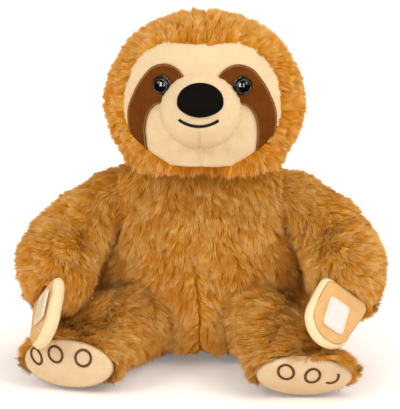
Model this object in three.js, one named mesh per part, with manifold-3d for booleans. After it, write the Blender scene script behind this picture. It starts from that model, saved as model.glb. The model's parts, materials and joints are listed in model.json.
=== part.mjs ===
// A seated plush sloth, built as it is sewn: fur panels round stuffing, a velour face, muzzle, hands
// and soles, safety eyes with their washers, and the fastening patches on the palms.
// Millimetres, +Z up. The toy faces -Y, and the origin is under the middle of its bounding box, on
// the surface that it sits on. The numbers below are from a frame in the middle of the body.
// The outside of each fur piece is the tip of its pile.
import * as THREE from 'three';
import { mergeVertices } from 'three/addons/utils/BufferGeometryUtils.js';
import Module from 'manifold-3d';

const wasm = await Module();
wasm.setup();

// Cloth and seams.
const GAP = 0.3;
const FUR_THICKNESS = 8.5;
const FACE_SINK = 6;
const VELOUR_THICKNESS = 1.6;
const PATCH_CLOTH = 1.2;
const THREAD_RISE = 1;
const FLAT_CUT = 0.5;
const OVERRUN = 400;

// Body: a pear with the neck cut level. It has settled onto its underside, which is flat.
const BODY_WIDTH = 138;
const BODY_DEPTH = 100;
const NECK_HEIGHT = 141.5;
const BODY_RISE = 158;
const BODY_BACK_SET = 9;
const BODY_SHIFT = -2;
const BODY_SETTLE = 4;
const BODY_BASE_ROUND = 22;
const BODY_TOP_ROUND = 20;
const BODY_SHARES = [
  [0, 0.89, 0.89], [0.14, 0.99, 0.97], [0.3, 1.08, 1], [0.48, 1.07, 0.97],
  [0.64, 1.01, 0.9], [0.78, 0.955, 0.81], [0.88, 0.88, 0.7], [1, 0.72, 0.6],
];

// Head: widest at the cheeks, with a rounded crown.
const HEAD_WIDTH = 144.5;
const HEAD_DEPTH = 99;
const HEAD_RISE = 115.5;
const HEAD_DROP = 2.5;
const HEAD_FORWARD = 18;
const HEAD_SHIFT = 1.3;
const HEAD_BASE_ROUND = 9;
const HEAD_CROWN_ROUND = 25;
const HEAD_SHARES = [
  [0, 0.84, 0.84], [0.1, 0.88, 0.88], [0.24, 0.95, 0.95], [0.42, 1, 1], [0.54, 0.975, 0.985],
  [0.64, 0.92, 0.94], [0.74, 0.825, 0.86], [0.84, 0.72, 0.77], [0.93, 0.635, 0.69], [1, 0.58, 0.64],
];

// Face panel, at a height above the neck, as shares of its half width and half height.
const FACE_HALF_WIDTH = 54.5;
const FACE_HALF_HEIGHT = 45;
const FACE_RISE = 47.5;
const FACE_HEIGHT = NECK_HEIGHT + FACE_RISE;
const FACE_SHARES = [
  [0, 0.98], [0.44, 1], [0.64, 0.9], [0.8, 0.75], [0.945, 0.48], [1, 0.15], [0.99, -0.24],
  [0.93, -0.49], [0.81, -0.69], [0.65, -0.85], [0.42, -0.97], [0.15, -1],
];

// Eye patches, as shares of the face panel's half width and half height.
const EYE_PATCH_SHARES = [
  [0.23, 0.5], [0.3, 0.61], [0.44, 0.667], [0.6, 0.62], [0.752, 0.433], [0.872, 0.222],
  [0.936, 0], [0.945, -0.222], [0.927, -0.378], [0.835, -0.556], [0.672, -0.733],
  [0.697, -0.489], [0.703, -0.244], [0.66, -0.044], [0.569, 0.089], [0.459, 0.144],
  [0.376, 0.289], [0.303, 0.4],
];

// Safety eyes and the washers on their stems.
const EYE_SPACING = 55;
const EYE_RISE = 65;
const EYE_HEIGHT = NECK_HEIGHT + EYE_RISE;
const EYE_RADIUS = 6.2;
const EYE_BULGE = 4.6;
const EYE_FLANGE = 0.8;
const EYE_SEAT = 0.35;
const EYE_TOE_OUT = 17;
const STEM_RADIUS = 2.2;
const STEM_LENGTH = 14;
const WASHER_RADIUS = 7.5;
const WASHER_THICKNESS = 1.8;
const WASHER_ROOM = 2.2;

// Muzzle, nose and mouth.
const MUZZLE_WIDTH = 54;
const MUZZLE_HEIGHT = 52;
const MUZZLE_REACH = 27;
const MUZZLE_SET_IN = 5;
const MUZZLE_RISE = 47.8;
const MUZZLE_CENTRE_HEIGHT = NECK_HEIGHT + MUZZLE_RISE;
const NOSE_WIDTH = 32.4;
const NOSE_HEIGHT = 24;
const NOSE_BULGE = 4.5;
const NOSE_ABOVE_MUZZLE = 13;
const NOSE_TILT = 30;
const MOUTH_WIDTH = 26.5;
const MOUTH_SAG = 3.8;
const MOUTH_BELOW_MUZZLE = 1.6;
const MOUTH_LINE = 1.9;

// Shoulders: each arm turns on a round dish about a sideways axis.
const SHOULDER_HALF = 55;
const SHOULDER_FORWARD = -6;
const SHOULDER_HEIGHT = 115.5;
const DISH_FLAT = 23;
const DISH_RIM = 46;
const DISH_RISE = 14;
const ARM_ROOT_OVERLAP = 12;
const ARM_SWING = 75;
const SWING_SHARES = [0, 0.2, 0.4, 0.6, 0.8, 1];
const SWING_CLEARANCE = 1.2;

// Arms: out from the shoulder, then forward; each place is in shares of the arm's reach.
const ARM_OUT = 48;
const ARM_FORWARD = 56;
const ARM_DOWN = 42.5;
const ARM_THICKNESS = 58;
const ARM_SPINE_SHARES = [
  [-0.27, -0.02, 0.03], [0.02, 0, 0.02], [0.26, 0.04, -0.06], [0.52, 0.15, -0.34],
  [0.84, 0.44, -0.75], [1, 1, -1],
];
const ARM_SHARES = [
  [0, 0.68, 0.68], [0.2, 0.73, 0.73], [0.4, 0.88, 0.88], [0.62, 0.99, 0.99], [0.82, 1.02, 1.02],
  [1, 1, 1],
];

// Hands: a stuffed tongue of velour that folds at the wrist seam. Each is placed by the two ends of
// its seam and by its tip; the right one faces ahead, and the left one is turned to the side.
const HAND_SEAM = 40;
const HAND_LENGTH = 43;
const HAND_THICKNESS = 10.4;
const HAND_COVER = 1.5;
const HAND_TIP_OFFSET = -4;
const HAND_TIP_RADIUS = 17;
const WRIST_FOLD = 30;
const FOLD_SHARES = [0, 0.5, 1];
const RIGHT_WRIST = { inner: [87, -82, 76.5], outer: [114, -73, 55], tip: [78, -128, 34] };
const LEFT_WRIST = { inner: [-91.5, -83, 75], outer: [-112.5, -60, 49], tip: [-98, -125, 47] };

// Fastening patches on the palms.
const FASTENER_WIDTH = 17;
const FASTENER_LENGTH = 23.5;
const FASTENER_CORNER = 3.4;
const FASTENER_THICKNESS = 1.3;
const FASTENER_DROP = 21;
const FASTENER_SHIFT = -3;

// Legs: each turns on a ball under the belly, about an upright axis. The feet turn in and down by
// angles of their own, and the flare moves a foot out from its leg's line.
const HIP_HALF = 38;
const HIP_FORWARD = 12;
const THIGH_HEIGHT = 53.5;
const LEG_WIDTH = 53;
const LEG_SHARES = [
  [0, 1, 1], [0.26, 1, 0.98], [0.5, 1.07, 0.92], [0.72, 1.25, 0.84], [0.88, 1.42, 0.78],
  [1, 1.48, 0.76],
];
const FOOT_ROUND = 14;
const FOOT_CUT = 7;
const LEFT_LEG = {
  length: 97, splay: 33, flare: -4, toeIn: 17, toeDown: 0, toes: [[-12.9, 6.7], [7.4, 7.4], [22, 4]],
};
const RIGHT_LEG = {
  length: 101, splay: 20, flare: 2, toeIn: 17, toeDown: 24, toes: [[-12.3, 6.4], [5.6, 3.8], [19.6, 3.4]],
};
const FOOT_BEND_SHARE = 0.5;
const SPLAY_REACH = 15;
const HIP_CLEARANCE = 1.2;

// Soles and toe rings.
const SOLE_WIDTH = 66;
const SOLE_HEIGHT = 34;
const SOLE_DROP = 0.3;
const SOLE_DOME = 5.5;
const SOLE_EDGE = 2;
const TOE_OUTER_RADIUS = 6.1;
const TOE_LINE = 2;

// Counts.
const BODY_GRID = [18, 10];
const HEAD_GRID = [20, 11];
const ARM_GRID = [14, 9];
const LEG_GRID = [14, 10];
const ROUND_STEPS = 16;
const EYE_STEPS = 4;
const MUZZLE_STEPS = 20;
const OUTLINE_STEPS = 6;
const OUTLINE_DENSITY = 1;
const CORNER_STEPS = 3;
const EDGE_STEPS = 2;
const DISH_STEPS = 24;
const SOLE_STEPS = 20;
const DOME_STEPS = 3;

const FUR = [0xc58a3c, 0.95];
const STUFFING = [0xf4f1ea, 1];
const CREAM = [0xf6ddae, 0.9];
const EYE_BROWN = [0x75401c, 0.9];
const THREAD_BROWN = [0x6b3a1c, 0.8];
const NOSE_BLACK = [0x14120e, 0.85];
const EYE_BLACK = [0x0b0a09, 0.08];
const WASHER_WHITE = [0xe9e6df, 0.5];
const FASTENER_WHITE = [0xefe4e2, 0.7];

const Z = new THREE.Vector3(0, 0, 1);
const radians = THREE.MathUtils.degToRad;

// Turns a closed geometry into a solid that can be joined and cut.
function solid(geometry) {
  const bare = geometry.clone();
  for (const name of ['normal', 'uv']) bare.deleteAttribute(name);
  const merged = mergeVertices(bare);
  return new wasm.Manifold(new wasm.Mesh({
    numProp: 3,
    vertProperties: new Float32Array(merged.attributes.position.array),
    triVerts: new Uint32Array(merged.index.array),
  }));
}

function fromSolid(body) {
  const mesh = body.getMesh();
  const geometry = new THREE.BufferGeometry();
  const places = new THREE.BufferAttribute(new Float32Array(mesh.vertProperties), 3);
  geometry.setAttribute('position', places);
  geometry.setIndex(new THREE.BufferAttribute(new Uint32Array(mesh.triVerts), 1));
  geometry.computeVertexNormals();
  return geometry;
}

// Moves a closed surface out along its normals, or in where the distance is negative.
function offset(geometry, distance) {
  const moved = geometry.clone();
  moved.computeVertexNormals();
  const places = moved.attributes.position;
  const normals = moved.attributes.normal;
  for (let i = 0; i < places.count; i += 1) {
    places.setXYZ(
      i,
      places.getX(i) + distance * normals.getX(i),
      places.getY(i) + distance * normals.getY(i),
      places.getZ(i) + distance * normals.getZ(i),
    );
  }
  return moved;
}

// Mirrors a geometry left to right, keeping its faces pointing out.
function mirrored(geometry) {
  const other = geometry.clone();
  other.scale(-1, 1, 1);
  const index = other.index.array;
  for (let i = 0; i < index.length; i += 3) {
    [index[i], index[i + 1]] = [index[i + 1], index[i]];
  }
  other.computeVertexNormals();
  return other;
}

// A closed skin over rings of points, with a point at each end.
function ringSkin(rings, first, last) {
  const sides = rings[0].length;
  const points = [first, ...rings.flat(), last];
  const index = [];
  const at = (ring, side) => 1 + ring * sides + (side % sides);
  for (let side = 0; side < sides; side += 1) {
    index.push(0, at(0, side), at(0, side + 1));
    index.push(points.length - 1, at(rings.length - 1, side + 1), at(rings.length - 1, side));
    for (let ring = 0; ring + 1 < rings.length; ring += 1) {
      index.push(at(ring, side), at(ring + 1, side + 1), at(ring, side + 1));
      index.push(at(ring, side), at(ring + 1, side), at(ring + 1, side + 1));
    }
  }
  const geometry = new THREE.BufferGeometry().setFromPoints(points);
  geometry.setIndex(index);
  geometry.computeVertexNormals();
  return geometry;
}

// How wide a form is, as a share, at a distance from its ends: full, but for its rounded ends.
function roundShare(from, length, startRound, endRound) {
  const start = Math.max(0, 1 - from / startRound);
  const end = Math.max(0, 1 - (length - from) / endRound);
  return Math.sqrt(Math.max(0, 1 - Math.max(start, end) ** 2));
}

// A stuffed form: rings along a spine, whose size shares follow a smooth table. facing is the
// direction of the second half size, and placeAt gives each ring's centre and direction.
function stuffed({ placeAt, length, shares, half, rounds, facing, grid }) {
  const [sides, steps] = grid;
  const table = new THREE.CatmullRomCurve3(shares.map((row) => new THREE.Vector3(...row)));
  const rings = [];
  for (let step = 1; step < steps; step += 1) {
    const size = table.getPoint((1 - Math.cos((Math.PI * step) / steps)) / 2);
    const share = THREE.MathUtils.clamp(size.x, 0, 1);
    const round = roundShare(share * length, length, ...rounds);
    const { centre, along } = placeAt(share, size);
    const deep = facing.clone().addScaledVector(along, -facing.dot(along)).normalize();
    const wide = along.clone().cross(deep);
    const ring = [];
    for (let side = 0; side < sides; side += 1) {
      const turn = (2 * Math.PI * side) / sides;
      const point = centre.clone();
      point.addScaledVector(wide, half[0] * size.y * round * Math.cos(turn));
      point.addScaledVector(deep, half[1] * size.z * round * Math.sin(turn));
      ring.push(point);
    }
    rings.push(ring);
  }
  const start = placeAt(0, table.getPoint(0)).centre;
  const end = placeAt(1, table.getPoint(1)).centre;
  return ringSkin(rings, start, end);
}

// A box between two corners, for cuts along planes.
function block(low, high) {
  const size = high.map((value, i) => value - low[i]);
  const box = new THREE.BoxGeometry(...size);
  box.translate(...high.map((value, i) => (value + low[i]) / 2));
  return solid(box);
}

// Everything above a height, and everything to the right of a place.
const above = (height) => block([-OVERRUN, -OVERRUN, height], [OVERRUN, OVERRUN, OVERRUN]);
const below = (height) => block([-OVERRUN, -OVERRUN, -OVERRUN], [OVERRUN, OVERRUN, height]);
const rightOf = (place) => block([place, -OVERRUN, -OVERRUN], [OVERRUN, OVERRUN, OVERRUN]);
const leftOf = (place) => block([-OVERRUN, -OVERRUN, -OVERRUN], [place, OVERRUN, OVERRUN]);

// A flat outline drawn in the front view, run back and forth through the toy.
function frontPrism(shape, from, to) {
  const prism = new THREE.ExtrudeGeometry(shape, {
    depth: to - from,
    bevelEnabled: false,
    curveSegments: OUTLINE_STEPS,
  });
  prism.rotateX(Math.PI / 2);
  prism.translate(0, to, 0);
  return solid(prism);
}

// A closed smooth outline through points, grown by a margin.
function smoothShape(points, margin) {
  const curve = new THREE.SplineCurve([...points, points[0]]);
  const outline = curve.getPoints(Math.round(points.length * OUTLINE_DENSITY)).slice(0, -1);
  const grown = outline.map((point, i) => {
    const before = outline[(i + outline.length - 1) % outline.length];
    const after = outline[(i + 1) % outline.length];
    const way = after.clone().sub(before).normalize();
    return new THREE.Vector2(point.x + way.y * margin, point.y - way.x * margin);
  });
  return new THREE.Shape(grown);
}

// The frontmost place of a surface on a line of sight at a given X and Z.
function frontOf(geometry, x, z) {
  const eye = new THREE.Vector3(x, -OVERRUN, z);
  const caster = new THREE.Raycaster(eye, new THREE.Vector3(0, 1, 0));
  return caster.intersectObject(new THREE.Mesh(geometry))[0].point;
}

function piece(name, [colour, roughness], body) {
  const geometry = body instanceof THREE.BufferGeometry ? body : fromSolid(body);
  const material = new THREE.MeshStandardMaterial({ color: colour, roughness, metalness: 0 });
  const mesh = new THREE.Mesh(geometry, material);
  mesh.name = name;
  return mesh;
}

function bodyForm() {
  const settled = BODY_SETTLE + FLAT_CUT;
  return stuffed({
    placeAt: (share) => ({
      centre: new THREE.Vector3(
        BODY_SHIFT,
        BODY_BACK_SET,
        Math.max(share * BODY_RISE, BODY_SETTLE) - settled,
      ),
      along: Z,
    }),
    length: BODY_RISE,
    shares: BODY_SHARES,
    half: [BODY_WIDTH / 2, BODY_DEPTH / 2],
    rounds: [BODY_BASE_ROUND, BODY_TOP_ROUND],
    facing: new THREE.Vector3(0, -1, 0),
    grid: BODY_GRID,
  });
}

function headForm() {
  return stuffed({
    placeAt: (share) => ({
      centre: new THREE.Vector3(
        HEAD_SHIFT,
        -HEAD_FORWARD,
        NECK_HEIGHT - HEAD_DROP + share * HEAD_RISE,
      ),
      along: Z,
    }),
    length: HEAD_RISE,
    shares: HEAD_SHARES,
    half: [HEAD_WIDTH / 2, HEAD_DEPTH / 2],
    rounds: [HEAD_BASE_ROUND, HEAD_CROWN_ROUND],
    facing: new THREE.Vector3(0, -1, 0),
    grid: HEAD_GRID,
  });
}

// The right arm's spine: out of the body's side, down, and forward to a round end.
function armForm() {
  const places = ARM_SPINE_SHARES.map(([out, ahead, up]) => new THREE.Vector3(
    SHOULDER_HALF + out * ARM_OUT,
    -SHOULDER_FORWARD - ahead * ARM_FORWARD,
    SHOULDER_HEIGHT + up * ARM_DOWN,
  ));
  const spine = new THREE.CatmullRomCurve3(places);
  const end = places.at(-1).clone().addScaledVector(spine.getTangent(1), ARM_THICKNESS / 2);
  places.push(end);
  const whole = new THREE.CatmullRomCurve3(places);
  return stuffed({
    placeAt: (share) => ({ centre: whole.getPointAt(share), along: whole.getTangentAt(share) }),
    length: whole.getLength(),
    shares: ARM_SHARES,
    half: [ARM_THICKNESS / 2, ARM_THICKNESS / 2],
    rounds: [ARM_ROOT_OVERLAP / 2, ARM_THICKNESS / 2],
    facing: new THREE.Vector3(0, 0, 1),
    grid: ARM_GRID,
  });
}

// The turn of a foot in its leg's frame, as a share of the whole turn: in, and toes down.
function footTurn(side, { toeIn, toeDown }, share) {
  const turn = new THREE.Matrix4().makeRotationZ(-side * radians(toeIn * share));
  return turn.multiply(new THREE.Matrix4().makeRotationX(radians(toeDown * share)));
}

// A leg in its own frame: the ball at the origin, the foot along -Y, outward at +X for side 1.
function legForm(side, pose) {
  const ball = THIGH_HEIGHT / 2;
  const length = pose.length + FOOT_CUT + ball;
  const shares = LEG_SHARES.map(([share, wide, high]) => [
    (ball + share * (length - ball)) / length, wide, high,
  ]);
  shares.unshift([0, 1, 1], [ball / 2 / length, 1, 1]);
  return stuffed({
    placeAt: (share, size) => {
      const bend = THREE.MathUtils.smoothstep(share, FOOT_BEND_SHARE, 1);
      const height = ball * size.z * Math.cos(radians(pose.toeDown * bend));
      return {
        centre: new THREE.Vector3(
          side * pose.flare * bend,
          ball - share * length,
          height - FLAT_CUT,
        ),
        along: new THREE.Vector3(0, -1, 0).applyMatrix4(footTurn(side, pose, bend)),
      };
    },
    length,
    shares,
    half: [LEG_WIDTH / 2, THIGH_HEIGHT / 2],
    rounds: [ball, FOOT_ROUND],
    facing: Z,
    grid: LEG_GRID,
  });
}

// The space on one side's outside of the shoulder dish, moved out by a margin.
function shoulderSide(side, margin) {
  const start = SHOULDER_HALF + margin;
  const profile = [
    [0, start], [DISH_FLAT, start], [DISH_RIM, start + DISH_RISE], [OVERRUN, start + DISH_RISE],
    [OVERRUN, OVERRUN], [0, OVERRUN],
  ];
  const dish = new THREE.LatheGeometry(
    profile.map(([out, along]) => new THREE.Vector2(out, along)),
    DISH_STEPS,
  );
  dish.rotateZ(-Math.PI / 2);
  dish.translate(0, -SHOULDER_FORWARD, SHOULDER_HEIGHT);
  return solid(side > 0 ? dish : mirrored(dish));
}

const SIDES = [
  { side: 1, word: 'right', leg: RIGHT_LEG, wrist: RIGHT_WRIST, fastener: 'loop' },
  { side: -1, word: 'left', leg: LEFT_LEG, wrist: LEFT_WRIST, fastener: 'hook' },
];

// The room that an arm sweeps through on its side of the dish, grown by a margin.
function armSweep(side, margin) {
  const pivot = new THREE.Vector3(0, -SHOULDER_FORWARD, SHOULDER_HEIGHT);
  const arm = offset(armForm(), SWING_CLEARANCE + margin);
  const turned = SWING_SHARES.map((share) => {
    const form = arm.clone();
    form.translate(...pivot.clone().negate().toArray());
    form.rotateX(-radians(share * ARM_SWING));
    form.translate(...pivot.toArray());
    return solid(side > 0 ? form : mirrored(form));
  });
  return turned.reduce((room, form) => room.add(form)).intersect(shoulderSide(side, -margin));
}

const hipPlace = (side) => new THREE.Vector3(side * HIP_HALF, -HIP_FORWARD, 0);

// The room that a leg needs between its two limits, in the toy's frame: the thigh with its ball,
// wider towards the foot by as much as the leg turns.
function legSweep(side, pose, margin) {
  const ball = THIGH_HEIGHT / 2;
  const length = pose.length + ball;
  const half = LEG_WIDTH / 2;
  const spread = Math.tan(radians(SPLAY_REACH / 2)) * (pose.length / half);
  const hip = ball / length;
  const room = stuffed({
    placeAt: (share) => ({
      centre: new THREE.Vector3(0, ball - share * length, ball - FLAT_CUT),
      along: new THREE.Vector3(0, -1, 0),
    }),
    length,
    shares: [[0, 1, 1], [hip / 2, 1, 1], [hip, 1, 1], [1, 1 + spread, 1]],
    half: [half, ball],
    rounds: [ball, ball],
    facing: Z,
    grid: LEG_GRID,
  });
  const grown = offset(room, margin);
  grown.rotateZ(radians(side * (pose.splay + SPLAY_REACH / 2)));
  grown.translate(...hipPlace(side).toArray());
  return solid(grown);
}

// What stays of a torso solid once the neck, arms and legs have their room.
function cutTorso(body, margin) {
  let torso = body.subtract(above(NECK_HEIGHT - GAP - margin)).subtract(below(0));
  for (const { side, leg } of SIDES) {
    torso = torso.subtract(armSweep(side, margin));
    torso = torso.subtract(legSweep(side, leg, HIP_CLEARANCE + margin));
  }
  return torso;
}

function torsoPieces() {
  const form = bodyForm();
  const shell = solid(form).subtract(solid(offset(form, -FUR_THICKNESS)));
  const skin = cutTorso(shell, 0);
  const stuffing = cutTorso(solid(offset(form, -FUR_THICKNESS - GAP)), GAP);
  return [
    piece('body_fur_right', FUR, skin.intersect(rightOf(GAP / 2))),
    piece('body_fur_left', FUR, skin.intersect(leftOf(-GAP / 2))),
    piece('body_stuffing', STUFFING, stuffing.subtract(below(FUR_THICKNESS))),
  ];
}

function facePoints(shares) {
  return shares.map(([wide, high]) => new THREE.Vector2(
    wide * FACE_HALF_WIDTH,
    high * FACE_HALF_HEIGHT,
  ));
}

const onFace = (point) => new THREE.Vector2(point.x + HEAD_SHIFT, point.y + FACE_HEIGHT);

// The face outline: the table's right half and its mirror image, run from the top round.
function faceShape(margin) {
  const right = facePoints(FACE_SHARES);
  const left = right.slice(1).reverse().map((point) => new THREE.Vector2(-point.x, point.y));
  return smoothShape([...left, ...right].map(onFace), -margin);
}

function eyePatchShape(side, margin) {
  const points = facePoints(EYE_PATCH_SHARES).map((p) => new THREE.Vector2(side * p.x, p.y));
  return smoothShape(points.map(onFace), -side * margin);
}

function muzzleForm() {
  const ball = new THREE.SphereGeometry(1, MUZZLE_STEPS, MUZZLE_STEPS / 2);
  const dome = mergeVertices(bareGeometry(ball.rotateX(Math.PI / 2)));
  dome.scale(MUZZLE_WIDTH / 2, MUZZLE_REACH, MUZZLE_HEIGHT / 2);
  return dome;
}

// An eye on its own axis, looking along -Y from the origin at its flange's back.
function eyeForm() {
  const profile = [[0, -STEM_LENGTH], [STEM_RADIUS, -STEM_LENGTH], [STEM_RADIUS, 0], [EYE_RADIUS, 0]];
  for (let step = 0; step <= EYE_STEPS; step += 1) {
    const turn = (Math.PI / 2) * (step / EYE_STEPS);
    profile.push([EYE_RADIUS * Math.cos(turn), EYE_FLANGE + EYE_BULGE * Math.sin(turn)]);
  }
  profile.at(-1)[0] = 0;
  const eye = new THREE.LatheGeometry(
    profile.map(([out, along]) => new THREE.Vector2(out, along)),
    ROUND_STEPS,
  );
  return eye.rotateX(Math.PI);
}

// A round bar along Y between two places, for holes and washers.
function bar(radius, from, to) {
  const rod = new THREE.CylinderGeometry(radius, radius, to - from, ROUND_STEPS);
  rod.translate(0, (from + to) / 2, 0);
  return rod;
}

function placedSolid(geometry, place, turn) {
  const copy = geometry.clone();
  copy.rotateZ(turn);
  copy.translate(...place.toArray());
  return solid(copy);
}

function headPieces() {
  const form = headForm();
  const layer = (outer, inner) => solid(offset(form, -outer)).subtract(solid(offset(form, -inner)));
  const face = frontPrism(faceShape(0), -OVERRUN, -HEAD_FORWARD);
  const faceRoom = frontPrism(faceShape(GAP), -OVERRUN, -HEAD_FORWARD);
  const keep = above(NECK_HEIGHT);
  const skin = layer(0, FUR_THICKNESS).subtract(faceRoom).intersect(keep);
  const faceInner = FACE_SINK + VELOUR_THICKNESS;
  let panel = layer(FACE_SINK, faceInner).intersect(face).intersect(keep);
  let stuffing = solid(offset(form, -FUR_THICKNESS - GAP)).intersect(above(NECK_HEIGHT + GAP));

  const patchBase = FACE_SINK - GAP;
  const patchTop = patchBase - PATCH_CLOTH;
  const patchSurface = offset(form, -patchTop);
  const muzzle = muzzleForm();
  const behind = frontOf(offset(form, -FACE_SINK), HEAD_SHIFT, MUZZLE_CENTRE_HEIGHT);
  muzzle.translate(HEAD_SHIFT, behind.y + MUZZLE_SET_IN, MUZZLE_CENTRE_HEIGHT);
  const headFront = solid(offset(form, -patchBase));

  const pieces = [];
  for (const { side, word } of SIDES) {
    const outline = frontPrism(eyePatchShape(side, 0), -OVERRUN, -HEAD_FORWARD);
    let patch = layer(patchTop, patchBase).intersect(outline);
    patch = patch.subtract(solid(offset(muzzle, GAP)));
    const turn = radians(side * EYE_TOE_OUT);
    const seat = frontOf(patchSurface, HEAD_SHIFT + (side * EYE_SPACING) / 2, EYE_HEIGHT);
    const ahead = new THREE.Vector3(Math.sin(turn), -Math.cos(turn), 0);
    seat.addScaledVector(ahead, EYE_SEAT);
    const hole = placedSolid(bar(STEM_RADIUS + GAP, -OVERRUN, STEM_LENGTH), seat, turn);
    const washerFront = PATCH_CLOTH + VELOUR_THICKNESS + EYE_SEAT + WASHER_ROOM + 2 * GAP;
    const washerBack = washerFront + WASHER_THICKNESS;
    const washer = placedSolid(bar(WASHER_RADIUS, washerFront, washerBack), seat, turn);
    const room = placedSolid(
      bar(WASHER_RADIUS + GAP, -STEM_LENGTH, STEM_LENGTH + WASHER_ROOM),
      seat,
      turn,
    );
    const flat = placedSolid(bar(EYE_RADIUS + GAP, -STEM_LENGTH, GAP), seat, turn);
    patch = patch.subtract(hole).subtract(flat);
    panel = panel.subtract(hole).subtract(flat);
    stuffing = stuffing.subtract(room);
    pieces.push(piece(`eye_patch_${word}`, EYE_BROWN, patch));
    pieces.push(piece(`eye_${word}`, EYE_BLACK, placedSolid(eyeForm(), seat, turn)));
    pieces.push(piece(`eye_washer_${word}`, WASHER_WHITE, washer.subtract(hole)));
  }

  const muzzleInside = offset(muzzle, -VELOUR_THICKNESS);
  const muzzleCover = solid(muzzle).subtract(solid(muzzleInside)).subtract(headFront);
  const muzzleStuffing = solid(offset(muzzleInside, -GAP)).subtract(solid(offset(form, -patchTop)));
  pieces.push(piece('muzzle_cover', CREAM, muzzleCover));
  pieces.push(piece('muzzle_stuffing', STUFFING, muzzleStuffing));
  pieces.push(piece('nose', NOSE_BLACK, nose(muzzle)));
  pieces.push(piece('mouth', NOSE_BLACK, mouth(muzzle)));
  pieces.push(piece('face_panel', CREAM, panel));
  pieces.push(piece('head_stuffing', STUFFING, stuffing));
  pieces.push(piece('head_fur_right', FUR, skin.intersect(rightOf(HEAD_SHIFT + GAP / 2))));
  pieces.push(piece('head_fur_left', FUR, skin.intersect(leftOf(HEAD_SHIFT - GAP / 2))));
  return pieces;
}

function nose(muzzle) {
  const place = frontOf(muzzle, HEAD_SHIFT, MUZZLE_CENTRE_HEIGHT + NOSE_ABOVE_MUZZLE);
  const oval = new THREE.SphereGeometry(1, ROUND_STEPS, ROUND_STEPS / 2);
  oval.scale(NOSE_WIDTH / 2, NOSE_BULGE, NOSE_HEIGHT / 2);
  oval.rotateX(-radians(NOSE_TILT));
  oval.translate(...place.toArray());
  return solid(oval).subtract(solid(offset(muzzle, GAP)));
}

// The mouth: a shallow arc of thread, drawn in the front view and laid on the muzzle.
function mouth(muzzle) {
  const half = MOUTH_WIDTH / 2;
  const radius = (half * half + MOUTH_SAG * MOUTH_SAG) / (2 * MOUTH_SAG);
  const reach = Math.asin(half / radius);
  const height = MUZZLE_CENTRE_HEIGHT - MOUTH_BELOW_MUZZLE - MOUTH_SAG + radius;
  const line = new THREE.Shape();
  const down = -Math.PI / 2;
  line.absarc(HEAD_SHIFT, height, radius + MOUTH_LINE / 2, down - reach, down + reach, false);
  line.absarc(HEAD_SHIFT, height, radius - MOUTH_LINE / 2, down + reach, down - reach, true);
  line.closePath();
  const band = frontPrism(line, -OVERRUN, muzzleMiddle(muzzle));
  const raised = solid(offset(muzzle, GAP + THREAD_RISE)).subtract(solid(offset(muzzle, GAP)));
  return raised.intersect(band);
}

function muzzleMiddle(muzzle) {
  muzzle.computeBoundingBox();
  return (muzzle.boundingBox.min.y + muzzle.boundingBox.max.y) / 2;
}

// A hand's frame: X along the wrist seam, Z from the tip up, the palm at -Y on the right hand.
function handFrame({ inner, outer, tip }) {
  const first = new THREE.Vector3(...inner);
  const last = new THREE.Vector3(...outer);
  const along = last.clone().sub(first).normalize();
  const middle = first.add(last).multiplyScalar(0.5);
  const up = middle.clone().sub(new THREE.Vector3(...tip));
  up.addScaledVector(along, -up.dot(along)).normalize();
  const through = up.clone().cross(along);
  const frame = new THREE.Matrix4().makeBasis(along, through, up);
  return frame.setPosition(middle);
}

// The tongue's middle outline, without the round edge that the stuffing gives it.
function handShape() {
  const half = HAND_SEAM / 2 - HAND_THICKNESS / 2;
  const tipRadius = HAND_TIP_RADIUS - HAND_THICKNESS / 2;
  const tip = -HAND_LENGTH + HAND_TIP_RADIUS;
  const shape = new THREE.Shape();
  shape.moveTo(-half, 0);
  shape.quadraticCurveTo(-half, tip / 2, HAND_TIP_OFFSET - tipRadius, tip);
  shape.absarc(HAND_TIP_OFFSET, tip, tipRadius, Math.PI, 2 * Math.PI, false);
  shape.quadraticCurveTo(half + HAND_TIP_OFFSET / 2, tip / 2, half, 0);
  shape.closePath();
  return shape;
}

// A pad of the tongue's outline with a fully round edge of the given radius.
function handPad(radius) {
  const pad = new THREE.ExtrudeGeometry(handShape(), {
    depth: GAP,
    bevelEnabled: true,
    bevelThickness: radius - GAP / 2,
    bevelSize: radius,
    bevelSegments: EDGE_STEPS,
    curveSegments: CORNER_STEPS,
  });
  pad.translate(0, 0, -GAP / 2);
  pad.rotateX(Math.PI / 2);
  return pad;
}

function fastenerShape() {
  const half = FASTENER_WIDTH / 2;
  const straight = FASTENER_LENGTH / 2 - FASTENER_CORNER;
  const side = half - FASTENER_CORNER;
  const shape = new THREE.Shape();
  shape.absarc(side, straight, FASTENER_CORNER, 0, Math.PI / 2, false);
  shape.absarc(-side, straight, FASTENER_CORNER, Math.PI / 2, Math.PI, false);
  shape.absarc(-side, -straight, FASTENER_CORNER, Math.PI, 1.5 * Math.PI, false);
  shape.absarc(side, -straight, FASTENER_CORNER, 1.5 * Math.PI, 2 * Math.PI, false);
  shape.closePath();
  return shape;
}

function fastener() {
  const patch = new THREE.ExtrudeGeometry(fastenerShape(), {
    depth: FASTENER_THICKNESS,
    bevelEnabled: false,
    curveSegments: CORNER_STEPS,
  });
  patch.rotateX(Math.PI / 2);
  patch.translate(FASTENER_SHIFT, -HAND_THICKNESS / 2 - GAP, -FASTENER_DROP);
  return patch;
}

// Turns the palm of a hand-frame geometry from -Y to +Y.
function palmSwapped(geometry) {
  const other = mergeVertices(bareGeometry(geometry));
  other.rotateZ(Math.PI / 2);
  const swapped = mirrored(other);
  swapped.rotateZ(-Math.PI / 2);
  return swapped;
}

function bareGeometry(geometry) {
  const bare = geometry.clone();
  bare.deleteAttribute('normal');
  bare.deleteAttribute('uv');
  return bare;
}

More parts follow.
